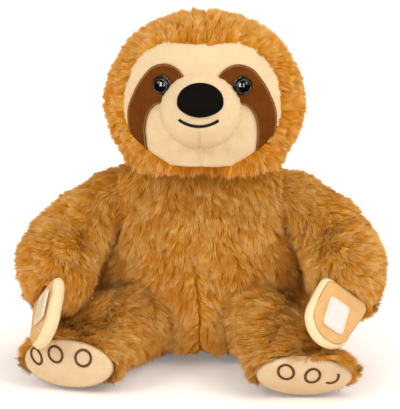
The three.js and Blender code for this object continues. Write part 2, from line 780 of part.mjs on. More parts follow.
// A hand-frame geometry set in the toy's frame.
function onWrist(geometry, side, wrist) {
  const turned = side > 0 ? mergeVertices(bareGeometry(geometry)) : palmSwapped(geometry);
  turned.applyMatrix4(handFrame(wrist));
  return turned;
}

// The round groove in the arm's end that the hand's seam edge sits in, with the room that the hand
// needs there as it folds towards its palm.
function wristGroove(side, wrist, margin) {
  const radius = HAND_THICKNESS / 2 + margin;
  const rod = new THREE.CylinderGeometry(radius, radius, HAND_SEAM + 2 * margin, ROUND_STEPS);
  rod.rotateZ(Math.PI / 2);
  let groove = solid(onWrist(rod, side, wrist));
  for (const share of FOLD_SHARES) {
    const pad = handPad(radius);
    pad.rotateX(-radians(share * WRIST_FOLD));
    groove = groove.add(solid(onWrist(pad, side, wrist)));
  }
  return groove;
}

function armPieces({ side, word, wrist, fastener: kind }) {
  const right = armForm();
  const form = side > 0 ? right : mirrored(right);
  const groove = wristGroove(side, wrist, 2 * GAP);
  const shell = solid(form).subtract(solid(offset(form, -FUR_THICKNESS)));
  const sleeve = shell.intersect(shoulderSide(side, GAP)).subtract(groove);
  const filling = solid(offset(form, -FUR_THICKNESS - GAP));
  const stuffing = filling.intersect(shoulderSide(side, 2 * GAP));
  const inside = solid(onWrist(handPad(HAND_THICKNESS / 2 - HAND_COVER), side, wrist));
  const slit = solid(onWrist(wristSlit(), side, wrist));
  const cover = solid(onWrist(handPad(HAND_THICKNESS / 2), side, wrist)).subtract(inside);
  const core = onWrist(handPad(HAND_THICKNESS / 2 - HAND_COVER - GAP), side, wrist);
  return [
    piece(`arm_fur_${word}`, FUR, sleeve),
    piece(`arm_stuffing_${word}`, STUFFING, stuffing.subtract(groove)),
    piece(`hand_cover_${word}`, CREAM, cover.subtract(slit)),
    piece(`hand_stuffing_${word}`, STUFFING, solid(core)),
    piece(`${kind}_patch`, FASTENER_WHITE, solid(onWrist(fastener(), side, wrist))),
  ];
}

// The open mouth of the hand's cover, at the wrist seam.
function wristSlit() {
  const thin = HAND_THICKNESS / 2 - HAND_COVER;
  const slit = new THREE.BoxGeometry(HAND_SEAM - HAND_THICKNESS, thin, HAND_THICKNESS);
  slit.translate(0, 0, HAND_THICKNESS / 2);
  return slit;
}

// Sets a solid of the foot's frame, which looks along -Y from the middle of the cut, on its leg.
function onFoot(body, side, pose) {
  const half = (LEG_SHARES.at(-1)[2] * THIGH_HEIGHT) / 2;
  const frame = footTurn(side, pose, 1);
  frame.setPosition(
    side * pose.flare,
    -pose.length,
    half * Math.cos(radians(pose.toeDown)) - FLAT_CUT,
  );
  return body.transform(frame.toArray());
}

// The sole's padded dome, shrunk by an inset, with its flat back at the foot's cut.
function soleDome(inset, back) {
  const profile = [[0, back], [1, back]];
  for (let step = 0; step <= DOME_STEPS; step += 1) {
    const out = 1 - step / DOME_STEPS;
    profile.push([out, SOLE_EDGE + (SOLE_DOME - SOLE_EDGE) * (1 - out * out) - inset]);
  }
  const dome = new THREE.LatheGeometry(
    profile.map(([out, along]) => new THREE.Vector2(out, along)),
    SOLE_STEPS,
  );
  dome.scale(SOLE_WIDTH / 2 - inset, 1, SOLE_HEIGHT / 2 - inset);
  dome.rotateX(Math.PI);
  dome.translate(0, -GAP, -SOLE_DROP);
  return solid(dome);
}

function toeShape(side, [out, lift]) {
  const x = side * out;
  const z = lift - SOLE_DROP;
  const ring = new THREE.Shape();
  ring.absarc(x, z, TOE_OUTER_RADIUS, 0, 2 * Math.PI);
  const hole = new THREE.Path();
  hole.absarc(x, z, TOE_OUTER_RADIUS - TOE_LINE, 0, 2 * Math.PI);
  ring.holes.push(hole);
  return ring;
}

function legPieces({ side, word, leg: pose }) {
  const form = legForm(side, pose);
  const onLeg = (body) => onFoot(body, side, pose);
  const ahead = (place) => onLeg(block(
    [-OVERRUN, -OVERRUN, -OVERRUN],
    [OVERRUN, place, OVERRUN],
  ));
  const skin = solid(form).subtract(solid(offset(form, -FUR_THICKNESS)));
  const filling = solid(offset(form, -FUR_THICKNESS - GAP)).subtract(ahead(0));
  const underSole = soleDome(VELOUR_THICKNESS + GAP, -FUR_THICKNESS);
  const opening = soleDome(VELOUR_THICKNESS, -FUR_THICKNESS - GAP);
  const sole = soleDome(0, 0).subtract(opening);
  const parts = [
    piece(`leg_fur_${word}`, FUR, skin.subtract(ahead(0)).subtract(onLeg(opening)).subtract(below(0))),
    piece(`sole_${word}`, CREAM, onLeg(sole)),
    piece(`leg_stuffing_${word}`, STUFFING, filling.add(onLeg(underSole))),
  ];
  const thread = soleDome(-GAP - THREAD_RISE, 0).subtract(soleDome(-GAP, 0));
  pose.toes.forEach((place, i) => {
    const ring = frontPrism(toeShape(side, place), -OVERRUN, -THREAD_RISE);
    parts.push(piece(`toe_ring_${word}_${i + 1}`, THREAD_BROWN, onLeg(thread.intersect(ring))));
  });
  const leg = new THREE.Group();
  leg.add(...parts);
  leg.position.copy(hipPlace(side));
  leg.rotation.z = radians(side * pose.splay);
  return leg;
}

const toy = new THREE.Group();
toy.add(...torsoPieces(), ...headPieces());
for (const one of SIDES) {
  toy.add(...armPieces(one));
  toy.add(legPieces(one));
}
toy.updateMatrixWorld(true);
const middle = new THREE.Box3().setFromObject(toy, true).getCenter(new THREE.Vector3());
toy.position.set(-middle.x, -middle.y, 0);

const sloth = new THREE.Group();
sloth.add(toy);

export default sloth;
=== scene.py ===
"""Dresses the plush sloth: pile fur, velour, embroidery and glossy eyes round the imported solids."""

import json
import logging
import math
from collections.abc import Callable, Sequence
from dataclasses import dataclass, fields
from enum import Enum
from typing import NamedTuple

import bmesh
import bpy
import numpy as np
from mathutils import Matrix, Vector
from mathutils.bvhtree import BVHTree
from mathutils.kdtree import KDTree

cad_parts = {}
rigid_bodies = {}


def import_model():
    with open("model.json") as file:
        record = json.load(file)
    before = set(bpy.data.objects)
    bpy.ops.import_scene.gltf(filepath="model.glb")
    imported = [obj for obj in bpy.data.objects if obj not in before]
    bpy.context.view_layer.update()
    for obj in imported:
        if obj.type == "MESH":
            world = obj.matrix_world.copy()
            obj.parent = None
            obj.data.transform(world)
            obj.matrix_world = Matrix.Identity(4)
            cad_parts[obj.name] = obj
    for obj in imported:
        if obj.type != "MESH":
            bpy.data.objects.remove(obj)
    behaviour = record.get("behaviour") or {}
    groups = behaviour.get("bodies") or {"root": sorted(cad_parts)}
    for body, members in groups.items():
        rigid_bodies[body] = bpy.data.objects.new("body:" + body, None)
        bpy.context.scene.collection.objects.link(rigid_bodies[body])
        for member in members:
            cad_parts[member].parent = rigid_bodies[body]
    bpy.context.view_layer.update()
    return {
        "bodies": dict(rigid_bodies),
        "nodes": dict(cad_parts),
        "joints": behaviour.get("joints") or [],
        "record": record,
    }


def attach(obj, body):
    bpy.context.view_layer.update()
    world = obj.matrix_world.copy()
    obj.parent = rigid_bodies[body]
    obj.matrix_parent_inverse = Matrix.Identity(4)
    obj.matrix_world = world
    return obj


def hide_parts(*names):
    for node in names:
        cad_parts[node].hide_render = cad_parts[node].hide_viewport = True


LOG = logging.getLogger("sloth")
MM = 0.001
# The solids' own numbers are from the middle of the body; the frame's origin is this far behind it.
BODY_TO_FRAME = Vector((0.0, 29.1725, 0.0))

Array = np.ndarray
Rows = Sequence[Sequence[float]]
Stops = Sequence[tuple[float, str]]


class Side(Enum):
    """A side of the toy, as the viewer sees it from the front."""

    LEFT = -1
    RIGHT = 1

    @property
    def word(self) -> str:
        """The side's name in the names of pieces."""
        return self.name.lower()


def unit(vectors: Array) -> Array:
    """Scales each row to a length of one."""
    return vectors / np.maximum(np.linalg.norm(vectors, axis=-1, keepdims=True), 1e-9)


def smooth_step(value: Array, low: float, high: float) -> Array:
    """Eases from 0 at low to 1 at high."""
    t = np.clip((value - low) / (high - low), 0.0, 1.0)
    return t * t * (3.0 - 2.0 * t)


def through(knots: Array, values: Array, at: Array) -> Array:
    """Runs a smooth curve through a table.

    Args:
        knots: The places of the rows, rising.
        values: A value or a row of values at each place.
        at: Where the curve is wanted.

    Returns:
        The curve's values there.
    """
    values = values.reshape(len(knots), -1)
    slopes = np.gradient(values, knots, axis=0)
    i = np.clip(np.searchsorted(knots, at, side="right") - 1, 0, len(knots) - 2)
    span = (knots[i + 1] - knots[i])[:, None]
    t = ((at - knots[i])[:, None]) / span
    return (
        (2 * t**3 - 3 * t**2 + 1) * values[i]
        + (t**3 - 2 * t**2 + t) * span * slopes[i]
        + (3 * t**2 - 2 * t**3) * values[i + 1]
        + (t**3 - t**2) * span * slopes[i + 1]
    )


def wander(places: Array, size: float, seed: int) -> Array:
    """A smooth random value for each place.

    Args:
        places: Places in millimetres.
        size: About how far apart its hills are, in millimetres.
        seed: Which pattern it is.

    Returns:
        Values that are mostly between -1 and 1.
    """
    rng = np.random.default_rng(seed)
    total = np.zeros(len(places))
    waves = 6
    for _ in range(waves):
        way = unit(rng.normal(size=3))
        total += np.sin(places @ way * (2 * math.pi / size) * rng.uniform(0.6, 1.5) + rng.uniform(0, 6.28))
    return total / math.sqrt(waves)


def rows_at(at: Array, run: Array, rows: Array) -> Array:
    """Reads rows at places along a run, on straight lines between them."""
    return np.stack([np.interp(at, run, column) for column in rows.T], axis=1)


def reach_of(ring: Array, turn: Array) -> Array:
    """How far a closed outline reaches from its middle, in the directions given in radians."""
    angles = np.arctan2(ring[:, 1], ring[:, 0])
    order = np.argsort(angles)
    angles, reach = angles[order], np.hypot(ring[:, 0], ring[:, 1])[order]
    return np.interp(turn, np.concatenate([angles - math.tau, angles, angles + math.tau]), np.tile(reach, 3))


# Finishes.


def linear(colour: str) -> tuple[float, float, float, float]:
    """Turns an sRGB hex value into the linear colour that a shader takes."""
    parts = [int(colour[i : i + 2], 16) / 255 for i in (1, 3, 5)]
    red, green, blue = (p / 12.92 if p <= 0.04045 else ((p + 0.055) / 1.055) ** 2.4 for p in parts)
    return red, green, blue, 1.0


def add_node(
    tree: bpy.types.NodeTree,
    kind: str,
    links: dict | None = None,
    stops: Stops = (),
    **settings: object,
) -> bpy.types.Node:
    """Adds one shader node.

    Args:
        tree: The node tree that it goes into.
        kind: The node's type, without its common beginning.
        links: Input names or numbers, each with a socket to link or a value to set.
        stops: Places and hex colours, where the node is a colour ramp.
        settings: The node's own settings.

    Returns:
        The node.
    """
    node = tree.nodes.new("ShaderNode" + kind)
    for name, value in settings.items():
        setattr(node, name, value)
    for name, value in (links or {}).items():
        if isinstance(value, bpy.types.NodeSocket):
            tree.links.new(value, node.inputs[name])
        else:
            node.inputs[name].default_value = value
    for _ in stops[2:]:
        node.color_ramp.elements.new(0.5)
    for i, (place, colour) in enumerate(stops):
        node.color_ramp.elements[i].position = place
        node.color_ramp.elements[i].color = linear(colour)
    return node


@dataclass(frozen=True)
class Finish:
    """A finish with one Principled shader."""

    name: str

    def inputs(self, tree: bpy.types.NodeTree) -> dict:
        """Returns the shader's inputs, as values or as sockets of the nodes that it adds."""
        raise NotImplementedError

    def surface(self, tree: bpy.types.NodeTree, shader: bpy.types.Node) -> bpy.types.NodeSocket:
        """Returns what the output shows."""
        return shader.outputs["BSDF"]

    def make(self) -> bpy.types.Material:
        """Builds the material."""
        material = bpy.data.materials.new(self.name)
        material.use_nodes = True
        tree = material.node_tree
        tree.nodes.clear()
        shader = add_node(tree, "BsdfPrincipled", self.inputs(tree))
        add_node(tree, "OutputMaterial", {"Surface": self.surface(tree, shader)})
        return material


@dataclass(frozen=True)
class PileFur(Finish):
    """Polyester plush pile, with painted shade darkening each strand towards its root and painted highlight
    paling its tip.
    """

    name: str = "plush_pile"
    # Each ramp runs up a strand's height: the darker roots are painted shade between the tufts, the paler
    # tips painted highlight.
    dark: Stops = ((0.0, "#985804"), (0.4, "#C07208"), (1.0, "#E68F12"))
    light: Stops = ((0.0, "#B06A0A"), (0.5, "#ECA328"), (1.0, "#F6C886"))

    def inputs(self, tree: bpy.types.NodeTree) -> dict:
        """Mixes a dark and a light strand by the strands' own UVs: U is a strand's tone; along V, its height,
        each ramp runs from painted shade at the root to painted highlight at the tip.
        """
        uv = add_node(tree, "UVMap", uv_map="OFBake")
        apart = add_node(tree, "SeparateXYZ", {0: uv.outputs["UV"]})
        dark, light = (
            add_node(tree, "ValToRGB", {"Fac": apart.outputs["Y"]}, stops=stops).outputs[0]
            for stops in (self.dark, self.light)
        )
        mixed = add_node(tree, "Mix", {"Factor": apart.outputs["X"], 6: dark, 7: light}, data_type="RGBA")
        return {
            "Base Color": mixed.outputs[2],
            "Roughness": 0.75,
            "Specular IOR Level": 0.05,
            "Sheen Weight": 0.1,
            "Sheen Roughness": 0.45,
            "Sheen Tint": linear("#F0CE9C"),
        }


@dataclass(frozen=True)
class BackingCloth(Finish):
    """Knitted backing of the pile: a brown ground that shows only as depth between tufts."""

    name: str = "knitted_backing"
    colour: str = "#C87C14"
    dark: str = "#AC640A"
    loop_mm: float = 1.2

    def inputs(self, tree: bpy.types.NodeTree) -> dict:
        """Darkens the ground between the knitted loops."""
        place = add_node(tree, "TexCoord").outputs["Object"]
        loops = add_node(tree, "TexVoronoi", {"Vector": place, "Scale": 1 / (self.loop_mm * MM)})
        stops = ((0.0, self.colour), (0.8, self.dark))
        ground = add_node(tree, "ValToRGB", {"Fac": loops.outputs["Distance"]}, stops=stops)
        return {"Base Color": ground.outputs[0], "Roughness": 0.95}


@dataclass(frozen=True)
class Velour(Finish):
    """Short-pile velour: soft, matt and a little mottled, with a pale sheen where it turns away."""

    colour: str
    dark: str
    sheen: str
    sheen_weight: float = 0.1
    nap_mm: float = 0.7
    mottle_mm: float = 9.0
    bump_mm: float = 0.3
    gloss: float = 0.1

    def inputs(self, tree: bpy.types.NodeTree) -> dict:
        """Mottles the colour, and raises the nap."""
        place = add_node(tree, "TexCoord").outputs["Object"]
        mottle, nap = (
            add_node(
                tree,
                "TexNoise",
                {"Vector": place, "Scale": 1 / (size * MM), "Detail": detail, "Roughness": rough},
            ).outputs["Fac"]
            for size, detail, rough in ((self.mottle_mm, 4.0, 0.65), (self.nap_mm, 3.0, 0.7))
        )
        both = add_node(tree, "Mix", {"Factor": 0.45, 2: mottle, 3: nap})
        stops = ((0.3, self.dark), (0.7, self.colour))
        cloth = add_node(tree, "ValToRGB", {"Fac": both.outputs[0]}, stops=stops)
        bump = add_node(tree, "Bump", {"Height": nap, "Strength": 0.55, "Distance": self.bump_mm * MM})
        return {
            "Base Color": cloth.outputs[0],
            "Normal": bump.outputs["Normal"],
            "Roughness": 0.9,
            "Specular IOR Level": self.gloss,
            "Sheen Weight": self.sheen_weight,
            "Sheen Roughness": 0.5,
            "Sheen Tint": linear(self.sheen),
        }


@dataclass(frozen=True)
class Floss(Finish):
    """Embroidery floss: tight rayon stitches with a low silky gloss."""

    colour: str
    dark: str
    twist_mm: float = 0.8

    def inputs(self, tree: bpy.types.NodeTree) -> dict:
        """Varies the colour from stitch to stitch."""
        place = add_node(tree, "TexCoord").outputs["Object"]
        size = {"Vector": place, "Scale": 1 / (self.twist_mm * MM), "Detail": 2.0}
        twist = add_node(tree, "TexNoise", size)
        stops = ((0.35, self.dark), (0.65, self.colour))
        thread = add_node(tree, "ValToRGB", {"Fac": twist.outputs["Fac"]}, stops=stops)
        return {"Base Color": thread.outputs[0], "Roughness": 0.6, "Specular IOR Level": 0.12}


@dataclass(frozen=True)
class Moulded(Finish):
    """Injection-moulded plastic, even in colour, with a fine unevenness in its gloss."""

    colour: str
    roughness: float
    gloss: float = 0.5
    grain_mm: float = 3.0

    def inputs(self, tree: bpy.types.NodeTree) -> dict:
        """Varies the roughness by a fifth."""
        place = add_node(tree, "TexCoord").outputs["Object"]
        size = {"Vector": place, "Scale": 1 / (self.grain_mm * MM), "Detail": 1.0}
        grain = add_node(tree, "TexNoise", size)
        limits = {"To Min": self.roughness * 0.8, "To Max": self.roughness * 1.2}
        rough = add_node(tree, "MapRange", {"Value": grain.outputs["Fac"]} | limits)
        return {
            "Base Color": linear(self.colour),
            "Roughness": rough.outputs["Result"],
            "IOR": 1.49,
            "Specular IOR Level": self.gloss,
        }


@dataclass(frozen=True)
class Tape(Finish):
    """Woven nylon fastening tape, matt and almost white, with rows of small loops or hooks."""

    colour: str = "#DED2CC"
    dark: str = "#D6C9C3"
    row_mm: float = 1.5
    bump_mm: float = 0.12

    def inputs(self, tree: bpy.types.NodeTree) -> dict:
        """Raises and darkens the rows."""
        place = add_node(tree, "TexCoord").outputs["Object"]
        rows = add_node(tree, "TexVoronoi", {"Vector": place, "Scale": 1 / (self.row_mm * MM)})
        far = rows.outputs["Distance"]
        weave = add_node(tree, "ValToRGB", {"Fac": far}, stops=((0.1, self.colour), (0.9, self.dark)))
        bump = add_node(tree, "Bump", {"Height": far, "Strength": 0.2, "Distance": self.bump_mm * MM})
        return {"Base Color": weave.outputs[0], "Normal": bump.outputs["Normal"], "Roughness": 0.7}


@dataclass(frozen=True)
class MattFloor(Finish):
    """A matt white sheet: the camera sees it white away from the toy, and it keeps the shadow."""

    name: str = "matt_floor"
    near: float = 0.13
    far: float = 0.34

    def inputs(self, tree: bpy.types.NodeTree) -> dict:
        """Gives the sheet a warm white: painted bounce light, for the warm light that the toy throws into its
        own shadow.
        """
        # The warm tint is painted bounce light from the toy's orange fur.
        return {"Base Color": (0.93, 0.86, 0.78, 1.0), "Roughness": 0.95, "Specular IOR Level": 0.1}

    def surface(self, tree: bpy.types.NodeTree, shader: bpy.types.Node) -> bpy.types.NodeSocket:
        """Adds a glow that only the camera sees, and dims the sheet where a glossy surface mirrors it."""
        place = add_node(tree, "TexCoord")
        away = add_node(tree, "VectorMath", {0: place.outputs["Object"]}, operation="LENGTH")
        limits = {"From Min": self.near, "From Max": self.far, "To Min": 0.17, "To Max": 0.7}
        glow = add_node(tree, "MapRange", {"Value": away.outputs["Value"]} | limits)
        rays = add_node(tree, "LightPath").outputs
        seen = add_node(tree, "Math", {0: glow.outputs[0], 1: rays["Is Camera Ray"]}, operation="MULTIPLY")
        white, dim = (
            add_node(tree, "Emission", {"Color": (1.0, 1.0, 1.0, 1.0), "Strength": strength})
            for strength in (seen.outputs[0], 0.03)
        )
        shown = add_node(tree, "AddShader", {0: shader.outputs["BSDF"], 1: white.outputs[0]})
        mixed = add_node(
            tree, "MixShader", {0: rays["Is Glossy Ray"], 1: shown.outputs[0], 2: dim.outputs[0]}
        )
        return mixed.outputs[0]


class Finishes:
    """Every finish of the toy, made once."""

    def __init__(self) -> None:
        """Builds every material."""
        self.pile = PileFur().make()
        self.backing = BackingCloth().make()
        self.cream = Velour("cream_velour", "#DEC6A0", "#D3B489", "#FFE4BC").make()
        # The soles' velour is the cream velour painted a little darker, as painted shade where the soles face
        # the lamps; its broader mottle is the cloth's own.
        self.sole = Velour("sole_velour", "#DDC19B", "#CFB088", "#F8DCB0", mottle_mm=14.0).make()
        self.rim = Velour("pale_velour", "#EAD2A8", "#DFC392", "#FFE4BC").make()
        self.palm = Velour("tan_velour", "#D9AC74", "#CB995C", "#E8C088").make()
        self.brown = Velour("brown_velour", "#703C08", "#552703", "#8A5010", 0.05, gloss=0.05).make()
        black = ("black_velour", "#120F0B", "#0B0906", "#2A251F")
        self.nose = Velour(*black, sheen_weight=0.0, bump_mm=0.1, gloss=0.02).make()
        self.black_floss = Floss("black_floss", "#17130F", "#0D0B09").make()
        self.brown_floss = Floss("brown_floss", "#744422", "#5A3014").make()
        self.edge_floss = Floss("patch_edge_floss", "#9C6030", "#854D24").make()
        self.cream_floss = Floss("cream_floss", "#F4DDB2", "#E9CC98").make()
        self.eye = Moulded("glossy_acrylic", "#080706", 0.04, gloss=0.36).make()
        # A grey ring on each eye's dome: painted reflection of the light round the dome's edge.
        self.ring = Moulded("grey_acrylic", "#4C4A48", 0.2).make()
        self.washer = Moulded("white_nylon", "#E9E6DF", 0.5).make()
        self.tape = Tape("nylon_tape").make()
        self.hooks = Tape("nylon_hook_tape", "#D8C8AC", "#CDBC9E").make()


# Pieces and how they are added.


def to_object(
    name: str, mesh: bpy.types.Mesh, material: bpy.types.Material, smooth: bool = True
) -> bpy.types.Object:
    """Puts a finished mesh into the scene at the origin, under its name and with its finish."""
    mesh.name = name
    mesh.materials.append(material)
    if smooth:
        mesh.shade_smooth()
    piece = bpy.data.objects.new(name, mesh)
    bpy.context.scene.collection.objects.link(piece)
    return piece


def add_piece(
    name: str,
    mesh: bpy.types.Mesh,
    material: bpy.types.Material,
    body: str,
    nodes: Sequence[str] = (),
    smooth: bool = True,
) -> None:
    """Adds a piece, puts it on the body that it rides on, gives it its finish and hides the solids that it
    stands for.

    Args:
        name: The piece's name.
        mesh: Its finished mesh.
        material: Its finish.
        body: The body that it moves with.
        nodes: The solids that it stands for.
        smooth: Whether its faces shade as one surface.
    """
    piece = to_object(name, mesh, material, smooth)
    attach(piece, body)
    if nodes:
        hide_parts(*nodes)
    LOG.info("piece %s: %d faces, rides on %s", piece.name, len(piece.data.polygons), body)


# Small tools for meshes.


def face_out(form: bmesh.types.BMesh) -> None:
    """Turns every face of a closed form outwards."""
    form.normal_update()
    bmesh.ops.recalc_face_normals(form, faces=form.faces)
    form.normal_update()


def move_to(form: bmesh.types.BMesh, places: Array) -> None:
    """Moves a form's vertices to places."""
    for vertex, place in zip(form.verts, places):
        vertex.co = place


def ball_of(segments: tuple[int, int], tipped: bool = False) -> tuple[bmesh.types.BMesh, Array]:
    """Makes a unit ball to be shaped.

    Args:
        segments: Faces round it, and from pole to pole.
        tipped: Whether its poles look ahead and back instead of up and down.

    Returns:
        The ball, and its points.
    """
    form = bmesh.new()
    bmesh.ops.create_uvsphere(form, u_segments=segments[0], v_segments=segments[1], radius=1.0)
    if tipped:
        bmesh.ops.rotate(form, verts=form.verts, matrix=Matrix.Rotation(math.pi / 2, 3, "X"))
    return form, np.array([v.co for v in form.verts])


def triangles_of(form: bmesh.types.BMesh) -> tuple[Array, Array]:
    """Turns a form into points and triangles, and frees it.

    The triangles are sorted by their vertices, since bmesh gives them in another order in each run.

    Args:
        form: The form.

    Returns:
        Its points, and the numbers of each triangle's points.
    """
    bmesh.ops.triangulate(form, faces=form.faces)
    form.verts.index_update()
    points = np.array([v.co for v in form.verts])
    faces = np.array([[v.index for v in face.verts] for face in form.faces])
    form.free()
    first = faces.argmin(axis=1)[:, None]
    faces = np.take_along_axis(faces, (first + np.arange(3)) % 3, axis=1)
    return points, faces[np.lexsort(faces.T[::-1])]


def finish_bmesh(form: bmesh.types.BMesh) -> bpy.types.Mesh:
    """Turns a bmesh in millimetres of the body's frame into a mesh in metres of the part's frame."""
    face_out(form)
    bmesh.ops.translate(form, verts=form.verts, vec=BODY_TO_FRAME)
    bmesh.ops.scale(form, verts=form.verts, vec=(MM, MM, MM))
    mesh = bpy.data.meshes.new("piece")
    form.to_mesh(mesh)
    form.free()
    return mesh


def copies_mesh(places: Array, faces: Array) -> bpy.types.Mesh:
    """Makes one mesh of many copies of a small shape.

    Args:
        places: Each copy's points, in millimetres of the body's frame.
        faces: The shape's triangles.

    Returns:
        The mesh.
    """
    count, size, _ = places.shape
    vertices = (places.reshape(-1, 3) + np.array(BODY_TO_FRAME)) * MM
    index = (faces[None] + (np.arange(count) * size)[:, None, None]).ravel()
    mesh = bpy.data.meshes.new("piece")
    mesh.vertices.add(len(vertices))
    mesh.vertices.foreach_set("co", vertices.ravel())
    mesh.loops.add(len(index))
    mesh.loops.foreach_set("vertex_index", index)
    mesh.polygons.add(len(index) // 3)
    mesh.polygons.foreach_set("loop_start", np.arange(0, len(index), 3))
    mesh.update(calc_edges=True)
    return mesh


def tree_of(form: bmesh.types.BMesh) -> BVHTree:
    """Makes a search tree of a closed form, and frees the form.

    Its triangles are sorted, since their order decides which of two equally near ones is found.

    Args:
        form: The form.

    Returns:
        The tree.
    """
    face_out(form)
    form.verts.index_update()
    points = [v.co.copy() for v in form.verts]
    rings = [[v.index for v in face.verts] for face in form.faces]
    form.free()
    triangles = sorted((ring[0], *pair) for ring in rings for pair in zip(ring[1:], ring[2:]))
    return BVHTree.FromPolygons(points, triangles, all_triangles=True)


def clearance(tree: BVHTree, places: Array) -> Array:
    """How far places are outside a closed form, in millimetres; inside it, the value is negative."""
    far = []
    for place in places:
        near, normal, _, distance = tree.find_nearest(Vector(place))
        far.append(distance if (Vector(place) - near).dot(normal) > 0 else -distance)
    return np.array(far)


# Forms: the stuffed shapes that carry the pile.


@dataclass
class StuffedForm:
    """A stuffed shape of rings along a spine, with rounded ends, in millimetres of the body's frame."""

    shares: Rows
    half: tuple[float, float]
    rounds: tuple[float, float]
    length: float
    facing: tuple[float, float, float]
    segments: tuple[int, int] = (96, 72)

    def spine(self, share: Array) -> tuple[Array, Array]:
        """Returns the ring centres and directions at shares of the length."""
        raise NotImplementedError

    def place(self, points: Array) -> Array:
        """Moves points of the form's own frame into the body's frame."""
        return points

    def surface(self, ball: Array) -> Array:
        """Maps points of a unit ball, whose poles are the form's ends, onto the form.

        Args:
            ball: Points of the ball.

        Returns:
            Their places in millimetres.
        """
        share = np.clip((1.0 - ball[:, 2]) / 2.0, 0.0, 1.0)
        turn = np.arctan2(ball[:, 1], ball[:, 0])
        table = np.array(self.shares)
        sizes = through(table[:, 0], table[:, 1:], share)
        distance = share * self.length
        start = np.maximum(0.0, 1.0 - distance / self.rounds[0])
        end = np.maximum(0.0, 1.0 - (self.length - distance) / self.rounds[1])
        full = np.sqrt(np.maximum(0.0, 1.0 - np.maximum(start, end) ** 2))
        centre, along = self.spine(share)
        facing = np.array(self.facing)
        deep = unit(facing - along * (along @ facing)[:, None])
        wide = np.cross(along, deep)
        points = centre + wide * (self.half[0] * sizes[:, 0] * full * np.cos(turn))[:, None]
        points += deep * (self.half[1] * sizes[:, 1] * full * np.sin(turn))[:, None]
        return self.place(points)

    def skin(self, inset: float = 0.0) -> bmesh.types.BMesh:
        """Builds the closed skin, an inset in millimetres inside the form."""
        form, ball = ball_of(self.segments)
        move_to(form, self.surface(ball))
        face_out(form)
        for vertex in form.verts:
            vertex.co -= vertex.normal * inset
        return form


@dataclass
class UprightForm(StuffedForm):
    """A form whose rings are level."""

    foot: tuple[float, float, float] = (0.0, 0.0, 0.0)
    settle: float = 0.0

    def spine(self, share: Array) -> tuple[Array, Array]:
        """Returns level rings, the lowest of them pressed to the settled height."""
        centre = np.tile(np.array(self.foot), (len(share), 1))
        centre[:, 2] += np.maximum(share * self.length, self.settle) - self.settle
        return centre, np.tile(np.array((0.0, 0.0, 1.0)), (len(share), 1))


@dataclass(kw_only=True)
class CurvedForm(StuffedForm):
    """A form whose spine runs through points."""

    points: Rows

    def __post_init__(self) -> None:
        """Measures the spine."""
        knots = np.array(self.points, dtype=float)
        steps = np.linspace(0, len(knots) - 1, 600)
        self.line = through(np.arange(len(knots), dtype=float), knots, steps)
        gaps = np.linalg.norm(np.diff(self.line, axis=0), axis=1)
        self.run = np.concatenate([[0.0], np.cumsum(gaps)])
        self.length = float(self.run[-1])

    def spine(self, share: Array) -> tuple[Array, Array]:
        """Returns places along the spine by length."""
        run, step = share * self.length, self.length / 100
        ahead = rows_at(np.minimum(run + step, self.length), self.run, self.line)
        behind = rows_at(np.maximum(run - step, 0.0), self.run, self.line)
        return rows_at(run, self.run, self.line), unit(ahead - behind)


class Toe(NamedTuple):
    """One toe ring's place on the sole, its width against its height, and its lean in degrees."""

    out: float
    lift: float
    squeeze: float
    lean: float


@dataclass(frozen=True)
class LegPose:
    """How one leg lies and is turned, its toes, and how far the pile hangs over its sole."""

    length: float
    splay: float
    flare: float
    toe_in: float
    toe_down: float
    toes: Sequence[Toe]
    last_ring: tuple[float, float] = (0.0, 360.0)
    fringe: float = 0.0


HIP_HALF = 38.0
HIP_FORWARD = 12.0
THIGH_HEIGHT = 53.5
LEG_WIDTH = 53.0
FOOT_ROUND = 14.0
FOOT_CUT = 7.0
FLAT_CUT = 0.5
FOOT_BEND_SHARE = 0.5
LEG_SHARES = (
    (0.0, 1.0, 1.0),
    (0.26, 1.0, 0.98),
    (0.5, 1.07, 0.92),
    (0.72, 1.25, 0.84),
    (0.88, 1.42, 0.78),
    (1.0, 1.48, 0.76),
)
LEG_POSES = {
    Side.LEFT: LegPose(
        length=97,
        splay=33,
        flare=-4,
        toe_in=17,
        toe_down=0,
        toes=(Toe(-12.9, 6.7, 0.98, 10), Toe(7.4, 7.4, 0.88, 32), Toe(22.0, 4.2, 0.66, 28)),
    ),
    Side.RIGHT: LegPose(
        length=101,
        splay=20,
        flare=2,
        toe_in=17,
        toe_down=24,
        toes=(Toe(-12.8, 7.0, 0.93, 20), Toe(5.2, 4.4, 0.88, -30), Toe(17.4, 3.2, 1.0, 0)),
        last_ring=(-118.0, 22.0),
        fringe=1.2,
    ),
}


